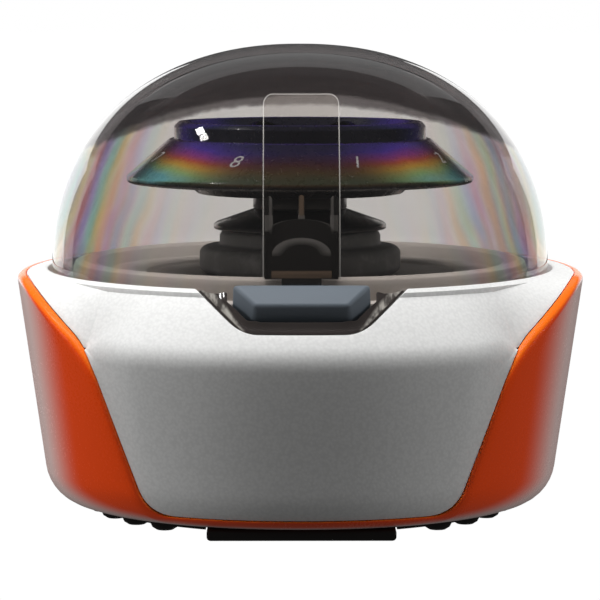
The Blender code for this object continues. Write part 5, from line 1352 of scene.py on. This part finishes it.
class CENTRIFUGE_OT_finishes(PieceOperator):
    """Mix every finish"""

    bl_idname = "centrifuge.finishes"
    bl_label = "Finishes"

    def execute(self, context):
        FINISHES.update(make_finishes(context.scene.centrifuge_colours))
        return {"FINISHED"}


class CENTRIFUGE_OT_shell(PieceOperator):
    """Model the orange lower shell"""

    bl_idname = "centrifuge.shell"
    bl_label = "Orange shell"

    def execute(self, context):
        hand_over(build_shell(context.scene.centrifuge_sizes), "orange", "base", "orange", "lower_shell")
        return {"FINISHED"}


class CENTRIFUGE_OT_cover(PieceOperator):
    """Model the white cover"""

    bl_idname = "centrifuge.cover"
    bl_label = "White cover"

    def execute(self, context):
        hand_over(build_cover(context.scene.centrifuge_sizes), "white", "base", "white", "body_cover")
        return {"FINISHED"}


class CENTRIFUGE_OT_chamber(PieceOperator):
    """Model the chamber liner, the rubber boot and its cap"""

    bl_idname = "centrifuge.chamber"
    bl_label = "Chamber"

    def execute(self, context):
        hand_over(build_chamber(), "grey", "base", "grey", "chamber_bowl")
        hand_over(build_boot(), "boot", "base", "rubber", "motor_boot")
        hand_over(build_cap(), "cap", "base", "black", "boot_cap")
        return {"FINISHED"}


class CENTRIFUGE_OT_rotor(PieceOperator):
    """Model the rotor, its hub, its knob and its place numbers"""

    bl_idname = "centrifuge.rotor"
    bl_label = "Rotor"

    def execute(self, context):
        hand_over(build_rotor(), "rotor", "rotor", "rotor", "rotor_disc")
        hand_over(build_hub(), "black", "rotor", "black", "rotor_hub")
        hand_over(build_knob(), "black", "rotor", "black", "rotor_knob")
        hand_over(build_numbers(), "print", "rotor", "grey")
        return {"FINISHED"}


class CENTRIFUGE_OT_dome(PieceOperator):
    """Model the clear dome and the latch moulding inside its front"""

    bl_idname = "centrifuge.dome"
    bl_label = "Dome"

    def execute(self, context):
        dome = hand_over(build_dome(), "clear", "lid", "clear", "lid_dome")
        dome.visible_shadow = False
        hand_over(build_latch(), "latch", "lid", "clear", "latch_striker")
        return {"FINISHED"}


class CENTRIFUGE_OT_button(PieceOperator):
    """Model the bezel, the release button and its two springs"""

    bl_idname = "centrifuge.button"
    bl_label = "Button"

    def execute(self, context):
        hand_over(build_bezel(), "smoke", "base", "smoke", "button_bezel")
        button = build_button(context.scene.centrifuge_sizes)
        hand_over(button, "button", "button", "button", "release_button")
        build_spring(-1)
        build_spring(1)
        return {"FINISHED"}


class CENTRIFUGE_OT_feet(PieceOperator):
    """Model the rubber feet"""

    bl_idname = "centrifuge.feet"
    bl_label = "Feet"

    def execute(self, context):
        hand_over(build_feet(), "rubber", "base", "rubber", "foot_ring")
        hand_over(build_foot_bar(), "rubber", "base", "rubber", "front_foot_bar")
        return {"FINISHED"}


class CENTRIFUGE_OT_carried(PieceOperator):
    """Give the nodes that stay their finishes"""

    bl_idname = "centrifuge.carried"
    bl_label = "Carried nodes"

    def execute(self, context):
        for finish, nodes in CARRIED.items():
            for node in nodes:
                for place in frame["nodes"][node].material_slots:
                    place.link = "OBJECT"
                    place.material = FINISHES[finish]
        return {"FINISHED"}


class CENTRIFUGE_OT_stage(PieceOperator):
    """Set the floor, the lights and the camera"""

    bl_idname = "centrifuge.stage"
    bl_label = "Stage"

    def execute(self, context):
        build_stage(context.scene)
        return {"FINISHED"}


# The studio. Each light: name, place, aim, size, watts, and whether gloss shows it
WHITE = (1.0, 1.0, 1.0, 1.0)
LIGHTS = (
    ("overhead_softbox", (-0.09, -0.08, 0.8), (0, 0, 0.05), (0.6, 0.5), 8.4, False),
    ("left_rear_softbox", (-0.44, 0.92, 0.16), (0, 0, 0.07), (0.62, 0.36), 1.0, True),
    ("right_rear_softbox", (0.44, 0.92, 0.16), (0, 0, 0.07), (0.62, 0.36), 0.9, True),
    ("rear_top_softbox", (0, 0.95, 0.85), (0, 0, 0.12), (1.2, 0.4), 0.6, True),
    ("left_fill", (-1.1, -0.14, 0.25), (0, 0, 0.05), (0.5, 0.4), 5.2, False),
    ("right_fill", (1.1, -0.14, 0.25), (0, 0, 0.05), (0.5, 0.4), 3.8, False),
    ("dome_glint", (-0.57, 0.03, 0.98), (-0.026, -0.045, 0.103), (0.09, 0.05), 0.5, True),
)
CAMERA_PLACE = (-0.0045, -0.73951, 0.13145)
CAMERA_DOWN = 5.936
CAMERA_RIGHT = 0.348


def soft_light(name, place, aim, size, power, gloss):
    """A rectangular softbox that faces its aim."""
    clear_selection()
    bpy.ops.object.light_add(type="AREA", location=place)
    light = bpy.context.object
    light.name = name
    light.data.shape = "RECTANGLE"
    light.data.size, light.data.size_y = size
    light.data.energy = power
    light.rotation_euler = (Vector(aim) - Vector(place)).to_track_quat("-Z", "Y").to_euler()
    light.visible_camera = False
    light.visible_glossy = gloss
    return light


def build_stage(scene):
    """A pale floor, white surroundings that light only dimly, the softboxes and the camera."""
    clear_selection()
    bpy.ops.mesh.primitive_plane_add(size=30.0, location=(0, 8.0, 0))
    place_here()
    floor = name_piece("studio_floor")
    finish, place = new_finish("studio_floor_white")
    pale = finish.blend(finish.noise(place, 0.4, 1.0), shade(WHITE, 0.98), WHITE)
    glow = finish.add("Emission", values={"Color": pale, "Strength": 1.02})
    floor.data.materials.append(finish.close(glow))
    floor.visible_diffuse = False
    floor.visible_glossy = False
    scene.world = bpy.data.worlds.new("studio_white")
    sky = Finish(scene.world)
    dim, plain = (sky.add("Background", values={"Color": WHITE, "Strength": power}) for power in (0.09, 1.0))
    sky.close(sky.over(sky.add("LightPath", output=0), dim, plain), "OutputWorld")
    for light in LIGHTS:
        soft_light(*light)
    scene.view_settings.view_transform = "Standard"
    clear_selection()
    turn = (math.radians(90 - CAMERA_DOWN), 0, -math.radians(CAMERA_RIGHT))
    bpy.ops.object.camera_add(location=CAMERA_PLACE, rotation=turn)
    camera = bpy.context.object
    camera.data.lens = 162.8
    camera.data.sensor_width = 36.0
    camera.data.clip_end = 60.0
    scene.camera = camera


PIECES = (
    CENTRIFUGE_OT_finishes,
    CENTRIFUGE_OT_shell,
    CENTRIFUGE_OT_cover,
    CENTRIFUGE_OT_chamber,
    CENTRIFUGE_OT_rotor,
    CENTRIFUGE_OT_dome,
    CENTRIFUGE_OT_button,
    CENTRIFUGE_OT_feet,
    CENTRIFUGE_OT_carried,
    CENTRIFUGE_OT_stage,
)


class CENTRIFUGE_PT_pieces(bpy.types.Panel):
    """The pieces, their sizes and their colours"""

    bl_idname = "CENTRIFUGE_PT_pieces"
    bl_label = "Mini centrifuge"
    bl_space_type = "VIEW_3D"
    bl_region_type = "UI"
    bl_category = "Centrifuge"

    def draw(self, context):
        for group in (context.scene.centrifuge_sizes, context.scene.centrifuge_colours):
            for name in group.__annotations__:
                self.layout.prop(group, name)
        for piece in PIECES:
            self.layout.operator(piece.bl_idname)


GROUPS = (CentrifugeSizes, CentrifugeColours)


def register():
    for group in GROUPS:
        bpy.utils.register_class(group)
    for piece in (*PIECES, CENTRIFUGE_PT_pieces):
        bpy.utils.register_class(piece)
    bpy.types.Scene.centrifuge_sizes = bpy.props.PointerProperty(type=CentrifugeSizes)
    bpy.types.Scene.centrifuge_colours = bpy.props.PointerProperty(type=CentrifugeColours)


def unregister():
    del bpy.types.Scene.centrifuge_colours
    del bpy.types.Scene.centrifuge_sizes
    for piece in (CENTRIFUGE_PT_pieces, *reversed(PIECES)):
        bpy.utils.unregister_class(piece)
    for group in reversed(GROUPS):
        bpy.utils.unregister_class(group)


def main():
    register()
    for piece in PIECES:
        family, name = piece.bl_idname.split(".")
        getattr(getattr(bpy.ops, family), name)()


if __name__ == "__main__":
    main()
